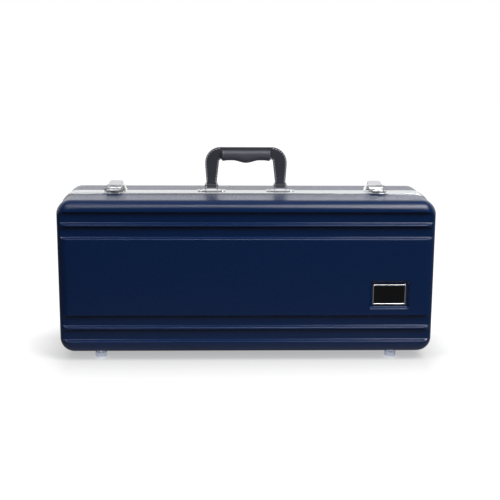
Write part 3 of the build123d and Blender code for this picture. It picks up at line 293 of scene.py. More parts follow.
# %% Plush and foam
PILE_SIZE = 1.5 * MM
BRUSHED_PATCH = 40 * MM
PORE_SIZE = 1.6 * MM
PILE_HEIGHT = 0.6 * MM
PORE_DEPTH = 0.8 * MM
plush, tree, shader = new_material(
    "Polyester plush, knitted and brushed",
    "#1A1C24",
    0.9,
    Sheen_Weight=0.5,
    Sheen_Roughness=0.4,
)
spot = add_node(tree, "TexCoord").outputs["Object"]
pile = add_node(tree, "TexNoise", Vector=spot, Scale=1 / PILE_SIZE, Detail=5.0)
brushed = add_node(tree, "TexNoise", Vector=spot, Scale=1 / BRUSHED_PATCH, Detail=3.0)
tint = add_node(
    tree,
    "Mix",
    {"data_type": "RGBA"},
    i0=brushed,
    i6=linear("#14161D"),
    i7=linear("#23262F"),
)
relief = add_node(tree, "Bump", Height=pile, Distance=PILE_HEIGHT, Strength=0.7)
feed(tree, shader, Base_Color=tint.outputs[2], Normal=relief)

foam_grey, tree, shader = new_material("Polyurethane foam, cut", "#2B2C30", 0.95)
spot = add_node(tree, "TexCoord").outputs["Object"]
pores = add_node(tree, "TexVoronoi", Vector=spot, Scale=1 / PORE_SIZE)
relief = add_node(tree, "Bump", Height=pores, Distance=PORE_DEPTH, Strength=0.8)
feed(tree, shader, Normal=relief)
print("materials:", len(bpy.data.materials))

# %% [markdown]
# ## Building helpers
# A new piece starts as a bmesh. `place_mesh` makes it an object that rides on a body and may
# stand in for CAD nodes, and `keep` turns its faces outwards first. Weighted normals let the
# flats stay flat beside small rounds.

# %% Keep a bmesh as a piece
SHARP_ANGLE = math.radians(35)


def keep(bm, name, material, body, replaced=()):
    bmesh.ops.recalc_face_normals(bm, faces=bm.faces[:])
    return place_mesh(bm, name, material, body, replaced)


def place_mesh(bm, name, material, body, replaced=()):
    mesh = bpy.data.meshes.new(name)
    bm.to_mesh(mesh)
    bm.free()
    mesh.materials.append(material)
    piece = bpy.data.objects.new(name, mesh)
    bpy.context.scene.collection.objects.link(piece)
    mesh.shade_smooth()
    mesh.set_sharp_from_angle(angle=SHARP_ANGLE)
    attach(piece, body)
    if replaced:
        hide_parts(*replaced)
    return piece


def weighted(piece):
    finish = piece.modifiers.new("flat faces stay flat", "WEIGHTED_NORMAL")
    finish.keep_sharp = True
    finish.weight = 100
    return piece


# %% [markdown]
# ### A section carried round the case
# Shell and valance are both one section carried round a rounded rectangle. The section is
# drawn once, as points of (outwards from the outline, away from the seam). It is extruded
# along each straight run and spun through each corner, as a router would follow the edge.


# %% Carry a section round
SEAM_JOIN = 0.01 * MM


def carry_round(bm, section, closed, steps):
    """Sweep (outwards, away from the seam) points round the case's outline."""
    top = CENTRE_Z + HEIGHT / 2
    first = LENGTH / 2 - OUTLINE_RADIUS
    verts = [bm.verts.new((-first, y, top + out)) for out, y in section]
    pairs = list(zip(verts, verts[1:])) + ([(verts[-1], verts[0])] if closed else [])
    edges = [bm.edges.new(pair) for pair in pairs]
    corner_x, corner_z = LENGTH / 2 - OUTLINE_RADIUS, HEIGHT / 2 - OUTLINE_RADIUS
    runs = (
        ((2 * corner_x, 0, 0), (corner_x, 0, CENTRE_Z + corner_z)),
        ((0, 0, -2 * corner_z), (corner_x, 0, CENTRE_Z - corner_z)),
        ((-2 * corner_x, 0, 0), (-corner_x, 0, CENTRE_Z - corner_z)),
        ((0, 0, 2 * corner_z), (-corner_x, 0, CENTRE_Z + corner_z)),
    )
    for run, corner in runs:
        straight = bmesh.ops.extrude_edge_only(bm, edges=edges)["geom"]
        moved = [g for g in straight if isinstance(g, bmesh.types.BMVert)]
        bmesh.ops.translate(bm, verts=moved, vec=run)
        edges = [g for g in straight if isinstance(g, bmesh.types.BMEdge)]
        turned = bmesh.ops.spin(
            bm, geom=edges, cent=corner, axis=(0, 1, 0), angle=math.pi / 2, steps=steps
        )["geom_last"]
        edges = [g for g in turned if isinstance(g, bmesh.types.BMEdge)]
    bmesh.ops.remove_doubles(bm, verts=bm.verts[:], dist=SEAM_JOIN)


# %% [markdown]
# ## Shells
# Each half is a tray: straight sides, a large round into the big face, and four channels
# that stiffen it. The section gives the sides and the round, and the big face is filled in.
# The channels are then pressed in. Cuts along the case give the face a line of points at each
# bend, and every point in a channel is pushed back to the channel's floor or slope, where it
# isn't already deeper. That is how the channels fade out in the rounds at both ends.

# %% Channel profile
CHANNEL_DEPTH = 4.8 * MM
CHANNEL_RUN = 3.5 * MM
CHANNEL_WIDTH = 22.4 * MM
CHANNEL_PITCH = 25 * MM
CHANNEL_EDGE = 1.8 * MM
CHANNEL_FLOOR_EDGE = 1.7 * MM
TOP_MARGIN = 18.4 * MM
BOTTOM_MARGIN = 21.1 * MM
TINY = 1e-9
top_channel = shell_high.z - TOP_MARGIN - CHANNEL_WIDTH / 2
bottom_channel = shell_low.z + BOTTOM_MARGIN + CHANNEL_WIDTH / 2
channel_centres = (
    top_channel,
    top_channel - CHANNEL_PITCH,
    bottom_channel + CHANNEL_PITCH,
    bottom_channel,
)
slope = CHANNEL_DEPTH / CHANNEL_RUN
bend = math.atan(slope)
bend_reach = CHANNEL_EDGE * math.tan(bend / 2)
floor_reach = CHANNEL_FLOOR_EDGE * math.tan(bend / 2)


def bend_steps(radius, count=4):
    """(run, drop) through one rounded bend, from flat to the slope."""
    turns = [bend * i / count for i in range(count + 1)]
    return [(radius * math.sin(turn), radius * (1 - math.cos(turn))) for turn in turns]


def channel_half():
    """(distance from the channel's middle, depth) from the floor out to the face."""
    outer = [
        (CHANNEL_WIDTH / 2 + bend_reach - run, drop) for run, drop in bend_steps(CHANNEL_EDGE)
    ]
    floor_edge = CHANNEL_WIDTH / 2 - CHANNEL_RUN
    inner = [
        (floor_edge - floor_reach + run, CHANNEL_DEPTH - drop)
        for run, drop in bend_steps(CHANNEL_FLOOR_EDGE)
    ]
    return inner + outer[::-1]


def channel_depth(z):
    profile = channel_half()
    for centre in channel_centres:
        away = abs(z - centre)
        if away <= profile[0][0]:
            return CHANNEL_DEPTH
        for (near, deep), (far, shallow) in zip(profile, profile[1:]):
            if near <= away <= far:
                share = (away - near) / max(far - near, TINY)
                return deep + (shallow - deep) * share
    return 0.0


print("channel profile:", [(round(a / MM, 2), round(d / MM, 2)) for a, d in channel_half()])

# %% [markdown]
# The section runs from the valance's web along the side and through the round into the face.
# The channels are pressed in after the section is carried round, because they run straight
# along the case and a section can't hold them.

# %% Shell section and channels
FILLET_STEPS = 16
SHELL_CORNER_STEPS = 14
SAME_LEVEL = 0.02 * MM
CUT_JOIN = 1e-6


def shell_section(side):
    sides = [(0, side * WEB), (0, side * VALANCE_WIDTH), (0, side * HALF_DEPTH / 2)]
    turn_y = HALF_DEPTH - FACE_FILLET
    fillet = [
        (
            -FACE_FILLET * (1 - math.cos(math.pi / 2 * i / FILLET_STEPS)),
            side * (turn_y + FACE_FILLET * math.sin(math.pi / 2 * i / FILLET_STEPS)),
        )
        for i in range(FILLET_STEPS + 1)
    ]
    return sides + fillet


def cut_lines(bm, levels, normal):
    for level in levels:
        point = Vector(normal) * level
        geometry = bm.verts[:] + bm.edges[:] + bm.faces[:]
        bmesh.ops.bisect_plane(
            bm, geom=geometry, plane_co=point, plane_no=normal, dist=CUT_JOIN
        )


def press_channels(bm, side):
    levels = sorted(
        centre + sign * away
        for centre in channel_centres
        for away, _ in channel_half()
        for sign in (-1, 1)
    )
    unique = [z for i, z in enumerate(levels) if i == 0 or z - levels[i - 1] > SAME_LEVEL]
    cut_lines(bm, unique, (0, 0, 1))
    for v in bm.verts:
        limit = HALF_DEPTH - channel_depth(v.co.z)
        if side * v.co.y > limit:
            v.co.y = side * limit


print("points in a shell's section:", len(shell_section(LID)))

# %% [markdown]
# The badge sits in a shallow pocket in the lid. It is a rounded rectangle pressed into the
# flat field between the channels: the field gets a hole, and rings of the same outline, each
# smaller and deeper, lead down to the pocket's floor.

# %% Badge pocket
badge_low, badge_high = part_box("badge_frame")
badge_x = (badge_low.x + badge_high.x) / 2
badge_z = (badge_low.z + badge_high.z) / 2
RECESS_WIDTH = 70.5 * MM
RECESS_TALL = 49.6 * MM
RECESS_RADIUS = 4.5 * MM
LEAST_RADIUS = 1.5 * MM
RECESS_MARGIN = 3 * MM
FIELD_BAND = 1 * MM


def rounded_loop(bm, width, tall, radius, y, steps=6):
    """A closed loop of edges, a rounded rectangle round the badge's middle."""
    loop = []
    for corner, (sx, sz) in enumerate(((1, 1), (-1, 1), (-1, -1), (1, -1))):
        for i in range(steps + 1):
            angle = math.pi / 2 * (corner + i / steps)
            x = badge_x + sx * (width / 2 - radius) + radius * math.cos(angle)
            z = badge_z + sz * (tall / 2 - radius) + radius * math.sin(angle)
            loop.append(bm.verts.new((x, y, z)))
    return [bm.edges.new((a, b)) for a, b in zip(loop, loop[1:] + loop[:1])]


def cut_window(bm):
    """Take a square of the lid's field away and give back the edges round the hole."""
    half_w, half_t = RECESS_WIDTH / 2 + RECESS_MARGIN, RECESS_TALL / 2 + RECESS_MARGIN
    cut_lines(bm, (badge_x - half_w, badge_x + half_w), (1, 0, 0))
    cut_lines(bm, (badge_z - half_t, badge_z + half_t), (0, 0, 1))
    middles = [(f, f.calc_center_median()) for f in bm.faces]
    inside = [
        f
        for f, middle in middles
        if abs(middle.x - badge_x) < half_w
        and abs(middle.z - badge_z) < half_t
        and middle.y < -HALF_DEPTH + FIELD_BAND
    ]
    bmesh.ops.delete(bm, geom=inside, context="FACES")
    return [e for e in bm.edges if e.is_boundary and e.verts[0].co.y < -HALF_DEPTH / 2]


def press_badge_pocket(bm):
    window = cut_window(bm)
    rings = [(run - bend_reach, drop) for run, drop in bend_steps(CHANNEL_EDGE)]
    for run, drop in bend_steps(CHANNEL_FLOOR_EDGE)[::-1]:
        rings.append((CHANNEL_RUN + floor_reach - run, CHANNEL_DEPTH - drop))
    previous = None
    for run, drop in rings:
        width, tall = RECESS_WIDTH - 2 * run, RECESS_TALL - 2 * run
        radius = max(RECESS_RADIUS - run, LEAST_RADIUS)
        edges = rounded_loop(bm, width, tall, radius, -HALF_DEPTH + drop)
        if previous is None:
            bmesh.ops.triangle_fill(
                bm, edges=window + edges, normal=(0, -1, 0), use_beauty=True
            )
        else:
            bmesh.ops.bridge_loops(bm, edges=previous + edges)
        previous = edges
    bmesh.ops.contextual_create(bm, geom=previous)


print(f"pocket {RECESS_WIDTH / MM:.1f} x {RECESS_TALL / MM:.1f} mm at x {badge_x:.3f} m")

# %% [markdown]
# Each shell gets its face, its channels and, in the lid, the pocket. It is drawn as the outer
# skin alone. Solidify then gives it the sheet's even wall, as drawing from sheet does.


# %% Make the shells
def make_shell(side):
    bm = bmesh.new()
    carry_round(bm, shell_section(side), False, SHELL_CORNER_STEPS)
    rim = [e for e in bm.edges if e.is_boundary and side * e.verts[0].co.y > HALF_DEPTH / 2]
    bmesh.ops.contextual_create(bm, geom=rim)
    press_channels(bm, side)
    if side == LID:
        press_badge_pocket(bm)
    return bm


for side, body in ((BASE, "base"), (LID, "lid")):
    bm = make_shell(side)
    shell = keep(bm, f"{body}_shell_skin", abs_navy, body, [f"{body}_shell"])
    wall = shell.modifiers.new("even wall", "SOLIDIFY")
    wall.thickness = WALL
    wall.offset = -1
    weighted(shell)
    print(shell.name, len(shell.data.polygons), "faces")

# %% [markdown]
# ## Valances
# A real valance is an extrusion bent round the case and closed with a seam. Its section has
# a flat flange outside with a fine groove along each edge, a web across the mating face and a
# short flange inside. It is drawn as one closed section and carried round like the shell's.
# The base's web has a tongue, and the lid's has the groove that it seats in.

# %% Make the valances
RIM_CORNER_STEPS = 18
LINE_FROM_SEAM = 2.4 * MM
LINE_FROM_RIM = 3.0 * MM
INNER_FLANGE = 12 * MM
FLANGE_WALL = 1.5 * MM
SHELL_CLEARANCE = 0.05 * MM
TONGUE_OUT, TONGUE_IN, TONGUE_TALL = -1.0 * MM, -2.6 * MM, 2 * MM
GROOVE_OUT, GROOVE_IN, GROOVE_DEEP = -0.6 * MM, -3.0 * MM, 2.4 * MM


def valance_section(side):
    """(outwards, away from the seam) round the section, from the outer edge inwards."""
    edge = 0.5 * MM
    groove = 0.4 * MM
    slant = 1.1 * MM
    ease = 0.1 * MM
    flange = VALANCE_WIDTH
    inner = -(WALL + FLANGE_WALL)
    outside = [
        (PROUD - edge, 0),
        (PROUD - 0.3 * edge, 0.3 * edge),
        (PROUD, edge),
        (PROUD, LINE_FROM_SEAM),
        (PROUD - groove, LINE_FROM_SEAM + groove),
        (PROUD, LINE_FROM_SEAM + 2 * groove),
        (PROUD, flange - LINE_FROM_RIM - 2 * groove),
        (PROUD - groove, flange - LINE_FROM_RIM - groove),
        (PROUD, flange - LINE_FROM_RIM),
        (PROUD, flange - slant - 2 * ease),
        (PROUD - ease, flange - slant),
        (PROUD - slant, flange - ease),
        (PROUD - slant - 2 * ease, flange),
        (SHELL_CLEARANCE, flange),
        (SHELL_CLEARANCE, WEB),
        (-WALL, WEB),
        (-WALL, INNER_FLANGE),
        (inner, INNER_FLANGE),
        (inner, 0),
    ]
    if side == BASE:
        near, far, rise = TONGUE_OUT, TONGUE_IN, -TONGUE_TALL
    else:
        near, far, rise = GROOVE_OUT, GROOVE_IN, GROOVE_DEEP
    face = [(far, 0), (far, rise), (near, rise), (near, 0)]
    return [(out, side * y) for out, y in outside + face]


for side, body in ((BASE, "base"), (LID, "lid")):
    bm = bmesh.new()
    carry_round(bm, valance_section(side), True, RIM_CORNER_STEPS)
    name, node = f"{body}_valance_rim", f"{body}_valance"
    rim = keep(bm, name, anodised, body, [node])
    weighted(rim)
    print(rim.name, len(rim.data.polygons), "faces")

# %% [markdown]
# ## Metal hardware
# The latches, brackets, hinges, pins, rivets and feet already have their true shape in the
# CAD model. What is missing is the small round that every pressed or turned edge has, which
# is where metal catches the light. A copy of each CAD mesh is merged, its flat triangles are
# joined into faces again, and a Bevel modifier rounds what is sharper than a set angle.


# %% Dress a CAD node
CAD_JOIN = 0.002 * MM
FLAT_ANGLE = math.radians(1)
EASED_ANGLE = math.radians(32)


def merged_copy(node):
    bm = bmesh.new()
    bm.from_mesh(frame["nodes"][node].data)
    bmesh.ops.remove_doubles(bm, verts=bm.verts[:], dist=CAD_JOIN)
    bmesh.ops.dissolve_limit(
        bm,
        angle_limit=FLAT_ANGLE,
        verts=bm.verts[:],
        edges=bm.edges[:],
        use_dissolve_boundaries=False,
    )
    return bm


def dress(node, material, width, segments=2):
    bodies = frame["record"]["behaviour"]["bodies"]
    body = next(body for body, names in bodies.items() if node in names)
    piece = place_mesh(merged_copy(node), f"{node}_finished", material, body, [node])
    edge = piece.modifiers.new("eased edges", "BEVEL")
    edge.width = width
    edge.segments = segments
    edge.limit_method = "ANGLE"
    edge.angle_limit = EASED_ANGLE
    edge.harden_normals = False
    return weighted(piece)


# %% [markdown]
# A thick piece takes a wider round than a thin one. The levers get one more step in theirs,
# because they stand highest and their rims show most.

# %% Dress the hardware
for hand in ("left", "right"):
    dress(f"latch_base_{hand}", chrome, 0.25 * MM)
    dress(f"latch_strike_{hand}", chrome, 0.25 * MM)
    dress(f"lever_{hand}", satin, 0.35 * MM, segments=3)
    dress(f"claw_{hand}", chrome, 0.3 * MM)
    dress(f"claw_pin_{hand}", nickel, 0.15 * MM)
    dress(f"lever_pivots_{hand}", nickel, 0.15 * MM)
    dress(f"handle_bracket_{hand}", chrome, 0.3 * MM)
    dress(f"handle_pin_{hand}", chrome, 0.4 * MM)
for number in (1, 2, 3):
    dress(f"hinge_base_leaf_{number}", nickel, 0.25 * MM)
    dress(f"hinge_lid_leaf_{number}", nickel, 0.25 * MM)
    dress(f"hinge_pin_{number}", nickel, 0.2 * MM)
for group in (
    "latch_base_rivets",
    "latch_strike_rivets",
    "handle_bracket_rivets",
    "hinge_base_rivets",
    "hinge_lid_rivets",
    "base_foot_screws",
    "lid_foot_screws",
):
    dress(group, nickel, 0.2 * MM)
dress("base_feet", silver, 0.3 * MM)
dress("lid_feet", silver, 0.3 * MM)
dress("badge_frame", chrome, 0.25 * MM)
dress("badge_plate", badge_black, 0.15 * MM)
dress("handle_core", nickel, 0.2 * MM)
dress("handle_bushes", nickel, 0.2 * MM)

# %% [markdown]
# ## Handle
# Two leather faces are glued and sewn over a steel core. Each face carries a thinner facing,
# whose outline follows the strap's and is drawn in by steps: a rounded edge, a flat land, a
# groove that the thread pulls in, and a field that stands up between the rows of stitches.
# The stitches are drawn longer and thicker than real ones, or they wouldn't show.

# %% Leather straps
low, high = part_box("handle_leather_front")
handle_top, strap_low, HANDLE_MIDDLE = high.z, low.z, high.y
STITCH_PITCH = 5.4 * MM
STITCH_LENGTH = 3.4 * MM
STITCH_THICK = 1.4 * MM
STRAP_EDGE = 0.9 * MM
STRAP_EDGE_ANGLE = math.radians(50)
ROUNDED_END = 5 * MM
FACING_SUNK, FACING_FOOT = 0.3 * MM, 0.35 * MM
FACING_MARGIN = ((0.5, 0),)
EDGE_TO_THREAD = ((0.2, 0.15), (0.9, 0.05), (0.4, -0.2), (0.3, 0))
THREAD_TO_FIELD = ((0.3, 0), (0.4, 0.2), (2.2, 0.15))
FACES_OUT = 0.95
GRIP_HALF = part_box("handle_grip")[1].x
GRIP_TOP = handle_top - 4 * MM


def flat_face(node, outward):
    """The strap's flat face above its rounded ends, alone in a new bmesh."""
    source = merged_copy(node)
    source.normal_update()
    outer = [f for f in source.faces if f.normal.y * outward > FACES_OUT]
    face = max(outer, key=lambda f: f.calc_area())
    points = [v.co.copy() for v in face.verts if v.co.z > strap_low + ROUNDED_END]
    source.free()
    bm = bmesh.new()
    verts = [bm.verts.new(point) for point in points]
    edges = [bm.edges.new(pair) for pair in zip(verts, verts[1:] + verts[:1])]
    face = bmesh.ops.contextual_create(bm, geom=edges)["faces"][0]
    face.normal_update()
    if face.normal.y * outward < 0:
        bmesh.ops.reverse_faces(bm, faces=[face])
    return bm, face


def draw_in(bm, face, steps):
    """Inset a face by steps of (inwards, upwards) in millimetres."""
    for inwards, upwards in steps:
        bmesh.ops.inset_region(
            bm,
            faces=[face],
            thickness=inwards * MM,
            depth=upwards * MM,
            use_even_offset=True,
        )


def make_facing(node, outward):
    """The facing as a thin closed piece, and the line that its thread follows."""
    bm, face = flat_face(node, outward)
    draw_in(bm, face, FACING_MARGIN)
    rim = [f for f in bm.faces if f != face]
    bmesh.ops.delete(bm, geom=rim, context="FACES")
    bmesh.ops.delete(bm, geom=[v for v in bm.verts if not v.link_faces], context="VERTS")
    bmesh.ops.translate(bm, verts=bm.verts[:], vec=(0, -outward * FACING_SUNK, 0))
    grown = bmesh.ops.extrude_face_region(bm, geom=[face], use_keep_orig=True)["geom"]
    face = next(g for g in grown if isinstance(g, bmesh.types.BMFace))
    bmesh.ops.translate(bm, verts=face.verts[:], vec=(0, outward * FACING_FOOT, 0))
    draw_in(bm, face, EDGE_TO_THREAD)
    line = [v.co.copy() for v in face.verts]
    draw_in(bm, face, THREAD_TO_FIELD)
    return bm, line


# %% [markdown]
# A stitch is a slim ball laid along the thread's line. One is set down at every pitch on the
# way round, apart from where the grip hides the strap and across the strap's two ends.

# %% Sew the straps
STITCH_LIFT = 0.2 * MM
END_ZONE = 20 * MM
ACROSS = 0.7
GRIP_CLEAR = 1 * MM


def walk(line, pitch):
    """Places and directions at an even pitch along a closed line of points."""
    pairs = list(zip(line, line[1:] + line[:1]))
    total = sum((b - a).length for a, b in pairs)
    step = total / round(total / pitch)
    due = 0.0
    for a, b in pairs:
        span = (b - a).length
        while due < span:
            yield a.lerp(b, due / span), (b - a).normalized()
            due += step
        due -= span


def add_stitch(bm, place, along):
    turn = along.to_track_quat("X", "Z").to_matrix().to_4x4()
    size = Matrix.Diagonal((STITCH_LENGTH / 2, STITCH_THICK / 2, STITCH_THICK / 2, 1))
    bmesh.ops.create_icosphere(
        bm, subdivisions=1, radius=1, matrix=Matrix.Translation(place) @ turn @ size
    )


for face, outward in (("front", -1), ("back", 1)):
    node = f"handle_leather_{face}"
    strap = place_mesh(
        merged_copy(node), f"strap_{face}", leather, "handle", [node]
    )
    edge = strap.modifiers.new("skived edges", "BEVEL")
    edge.width = STRAP_EDGE
    edge.segments = 3
    edge.limit_method = "ANGLE"
    edge.angle_limit = STRAP_EDGE_ANGLE
    weighted(strap)
    bm, line = make_facing(node, outward)
    keep(bm, f"facing_{face}", leather, "handle")
    sewn = bmesh.new()
    for place, along in walk(line, STITCH_PITCH):
        across_the_end = place.z < strap_low + END_ZONE and abs(along.x) > ACROSS
        if abs(place.x) > GRIP_HALF + GRIP_CLEAR and not across_the_end:
            add_stitch(sewn, place + Vector((0, outward * STITCH_LIFT, 0)), along)
    seam = keep(sewn, f"strap_stitches_{face}", thread, "handle")
    print(seam.name, len(seam.data.polygons), "faces")

# %% [markdown]
# The grip is a padded sleeve that is folded round the strap's bar from below and sewn along
# its two upper edges. It is drawn as rings round the bar: a soft oblong section, open at the
# top for the strap. The underside swells in the middle for the fingers, the sleeve is a little
# thicker over the rolled hem at each end, and shallow creases keep it from looking cast.

# %% Grip section
GRIP_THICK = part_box("handle_grip")[1].y - HANDLE_MIDDLE
GRIP_TALL = 19.2 * MM
BAR_UNDER = handle_top - 20.8 * MM
SLOT_HALF = 4.0 * MM
SLOT_LIP, SLOT_UNDER = 2.5 * MM, 0.6 * MM
SWELL, SWELL_HALF = 4.6 * MM, 24 * MM
END_ROUND, END_TUCK = 2.4 * MM, 1.9 * MM
HEM_ROOM = 0.5 * MM
HEM = (0.45 * MM, 2.6 * MM, 1.3 * MM)
FLARE = (0.9 * MM, 4 * MM, 4 * MM)
CREASE = 0.10 * MM
CREASE_WAVES = ((7, 260), (2, 190))
SQUARENESS = 0.8
RING_POINTS = 30


def swelling(x, height, from_end, width):
    """A soft ridge round the sleeve near both of its ends."""
    return height * math.exp(-(((GRIP_HALF - from_end - abs(x)) / width) ** 2))


def grip_ring(x):
    """(y, z) points of the sleeve's section at x, from one upper edge down round the other."""
    end = max(0.0, abs(x) - (GRIP_HALF - END_ROUND)) / END_ROUND
    tuck = END_TUCK * (1 - math.sqrt(max(0.0, 1 - end * end)))
    hem, flare = swelling(x, *HEM), swelling(x, *FLARE)
    fingers = math.cos(math.pi * x / (2 * SWELL_HALF)) ** 2 if abs(x) < SWELL_HALF else 0.0
    swell = SWELL * fingers
    half = GRIP_THICK - HEM_ROOM - tuck + hem
    top = GRIP_TOP - tuck
    bottom = GRIP_TOP - GRIP_TALL - swell - flare + tuck
    middle, tall = (top + bottom) / 2, (top - bottom) / 2
    (turns, along), (other_turns, other_along) = CREASE_WAVES
    ring = []
    start = math.acos((SLOT_HALF / half) ** (1 / SQUARENESS))
    for i in range(RING_POINTS + 1):
        angle = start - (math.pi + 2 * start) * i / RING_POINTS
        wave = math.sin(turns * angle + along * x)
        crease = CREASE * wave * math.sin(other_along * x + other_turns * angle)
        across = math.copysign(abs(math.cos(angle)) ** SQUARENESS, math.cos(angle))
        up = math.copysign(abs(math.sin(angle)) ** SQUARENESS, math.sin(angle))
        ring.append((across * (half + crease), middle + up * (tall + crease)))
    slot_floor, lip = BAR_UNDER - SLOT_UNDER, top - SLOT_LIP
    inside = [(-1, lip), (-1, slot_floor), (1, slot_floor), (1, lip)]
    return ring + [(side * SLOT_HALF, z) for side, z in inside]


print("points in a grip ring:", len(grip_ring(0.0)))

# %% [markdown]
# The rings stand closer together near the ends, where the sleeve turns in. Bridging joins them
# into one closed skin, and Subdivision Surface rounds it as soft leather over padding is. A
# cloth simulation would settle to the same shape, because the sleeve is sewn tight.

# %% Make the grip
EVEN_STATIONS = 26
END_STATIONS = [d * MM for d in (0.05, 0.3, 0.8, 2.4, 3.2, 4.1)]
SEAM_OUT, SEAM_MARGIN, SEAM_SUNK = 5.6 * MM, 5 * MM, 0.15 * MM
bm = bmesh.new()
rings = []
stations = sorted(
    {round(GRIP_HALF * i / EVEN_STATIONS, 6) for i in range(-EVEN_STATIONS, EVEN_STATIONS + 1)}
    | {side * (GRIP_HALF - from_end) for side in (-1, 1) for from_end in END_STATIONS}
)
for x in stations:
    verts = [bm.verts.new((x, HANDLE_MIDDLE + y, z)) for y, z in grip_ring(x)]
    rings.append([bm.edges.new(pair) for pair in zip(verts, verts[1:] + verts[:1])])
for near, far in zip(rings, rings[1:]):
    bmesh.ops.bridge_loops(bm, edges=near + far)
for ring in (rings[0], rings[-1]):
    bmesh.ops.contextual_create(bm, geom=ring)
grip = keep(bm, "grip_sleeve", painted_lit_grip_leather, "handle", ["handle_grip"])
smooth = grip.modifiers.new("soft leather", "SUBSURF")
smooth.levels = smooth.render_levels = 1

sewn = bmesh.new()
for outward in (-1, 1):
    y = HANDLE_MIDDLE + outward * SEAM_OUT
    count = int(2 * (GRIP_HALF - SEAM_MARGIN) / STITCH_PITCH)
    for i in range(count + 1):
        x = (i - count / 2) * STITCH_PITCH
        add_stitch(sewn, Vector((x, y, GRIP_TOP - SEAM_SUNK)), Vector((1, 0, 0)))
keep(sewn, "grip_stitches", dark_thread, "handle")
print("grip:", len(rings), "rings and", 2 * (count + 1), "stitches")

# %% [markdown]
# ## Interior
# Both halves hold a block of foam with wells cut in it, and a plush lining that is laid over
# the foam and glued down into the wells. Plush can't follow a sharp edge, so the lining is made
# from the foam's shape: it is rebuilt as an even net, pushed out by the lining's thickness,
# relaxed until its edges are round, cut free at the back and the sides, and given a thickness.

# %% Lining and foam
NET = 4 * MM
PLUSH = 2 * MM
PLUSH_SHEET = 1.5 * MM
BLOCK_RADIUS = 18 * MM
EDGE_MARGIN = 1.5 * MM
BACK_MARGIN = 2 * MM
RELAX_STEPS = 6


def inside_outline(point, low, high, radius):
    """How far a point is inside the foam block's rounded outline, seen from the front."""
    x = abs(point.x) - (high.x - radius)
    z = abs(point.z - (low.z + high.z) / 2) - ((high.z - low.z) / 2 - radius)
    corner = math.hypot(max(x, 0.0), max(z, 0.0))
    return radius - corner - min(max(x, z), 0.0)


def even_net(node):
    """The CAD solid's surface as an even net of squares."""
    source = bpy.data.objects.new("net source", frame["nodes"][node].data.copy())
    bpy.context.scene.collection.objects.link(source)
    net = source.modifiers.new("even net", "REMESH")
    net.mode = "VOXEL"
    net.voxel_size = NET
    evaluated = source.evaluated_get(bpy.context.evaluated_depsgraph_get())
    bm = bmesh.new()
    bm.from_mesh(evaluated.to_mesh())
    evaluated.to_mesh_clear()
    bpy.data.objects.remove(source)
    return bm


def make_lining(body, side):
    low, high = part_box(f"{body}_foam")
    back = high.y if side == BASE else -low.y
    bm = even_net(f"{body}_foam")
    bm.normal_update()
    free = [
        v
        for v in bm.verts
        if inside_outline(v.co, low, high, BLOCK_RADIUS) > EDGE_MARGIN
        and side * v.co.y < back - BACK_MARGIN
    ]
    moved = {v: v.normal * PLUSH for v in free}
    for v, step in moved.items():
        v.co += step
    for _ in range(RELAX_STEPS):
        bmesh.ops.smooth_vert(
            bm, verts=free, factor=0.5, use_axis_x=True, use_axis_y=True, use_axis_z=True
        )
    loose = set(bm.verts) - set(free)
    hidden = [f for f in bm.faces if all(v in loose for v in f.verts)]
    bmesh.ops.delete(bm, geom=hidden, context="FACES")
    lining = place_mesh(bm, f"{body}_lining", plush, body, [f"{body}_plush"])
    cloth = lining.modifiers.new("plush thickness", "SOLIDIFY")
    cloth.thickness = PLUSH_SHEET
    cloth.offset = -1
    print(lining.name, len(lining.data.polygons), "faces")


for body, side in (("base", BASE), ("lid", LID)):
    make_lining(body, side)
    node = f"{body}_foam"
    bed = place_mesh(merged_copy(node), f"{body}_foam_bed", foam_grey, body, [node])
    weighted(bed)

# %% [markdown]
# ## Stage, light and camera
# The case stands on white paper in front of a white sweep. The camera sees the paper white
# away from the case. Close to it, the paper is lit by the lamps and keeps the case's real
# shadow, and a painted shadow darkens it further towards the case. A mirroring ray
# finds it dark, so that the glossy front shows a quiet studio. A scattered ray finds a painted
# glow in it under the case, which lights the feet as white paper would.

# %% Paper and the distance from the case
FLOOR_REACH = 6.0
SHADOW_SIDES = ((0, LENGTH / 2 - 15 * MM, 2.0), (1, HALF_DEPTH / 2, 1.0))
bm = bmesh.new()
bmesh.ops.create_grid(bm, x_segments=1, y_segments=1, size=FLOOR_REACH)
floor_mesh = bpy.data.meshes.new("floor")
bm.to_mesh(floor_mesh)
bm.free()
floor = bpy.data.objects.new("floor", floor_mesh)
bpy.context.scene.collection.objects.link(floor)
paper, tree, shader = new_material("Paper, matt white", "#E4E4E4", 0.9, Specular_IOR_Level=0.1)
floor_mesh.materials.append(paper)

spot = add_node(tree, "TexCoord").outputs["Object"]
place = add_node(tree, "SeparateXYZ", Vector=spot).outputs
reaches = []
for axis, half, weight in SHADOW_SIDES:
    size = add_node(tree, "Math", {"operation": "ABSOLUTE"}, i0=place[axis])
    past = add_node(tree, "Math", {"operation": "SUBTRACT"}, i0=size, i1=half)
    outside = add_node(tree, "Math", {"operation": "MAXIMUM"}, i0=past, i1=0.0)
    reaches.append(add_node(tree, "Math", {"operation": "MULTIPLY"}, i0=outside, i1=weight))
distance = add_node(tree, "Math", {"operation": "ADD"}, i0=reaches[0], i1=reaches[1])
print("paper reaches", FLOOR_REACH, "m each way")
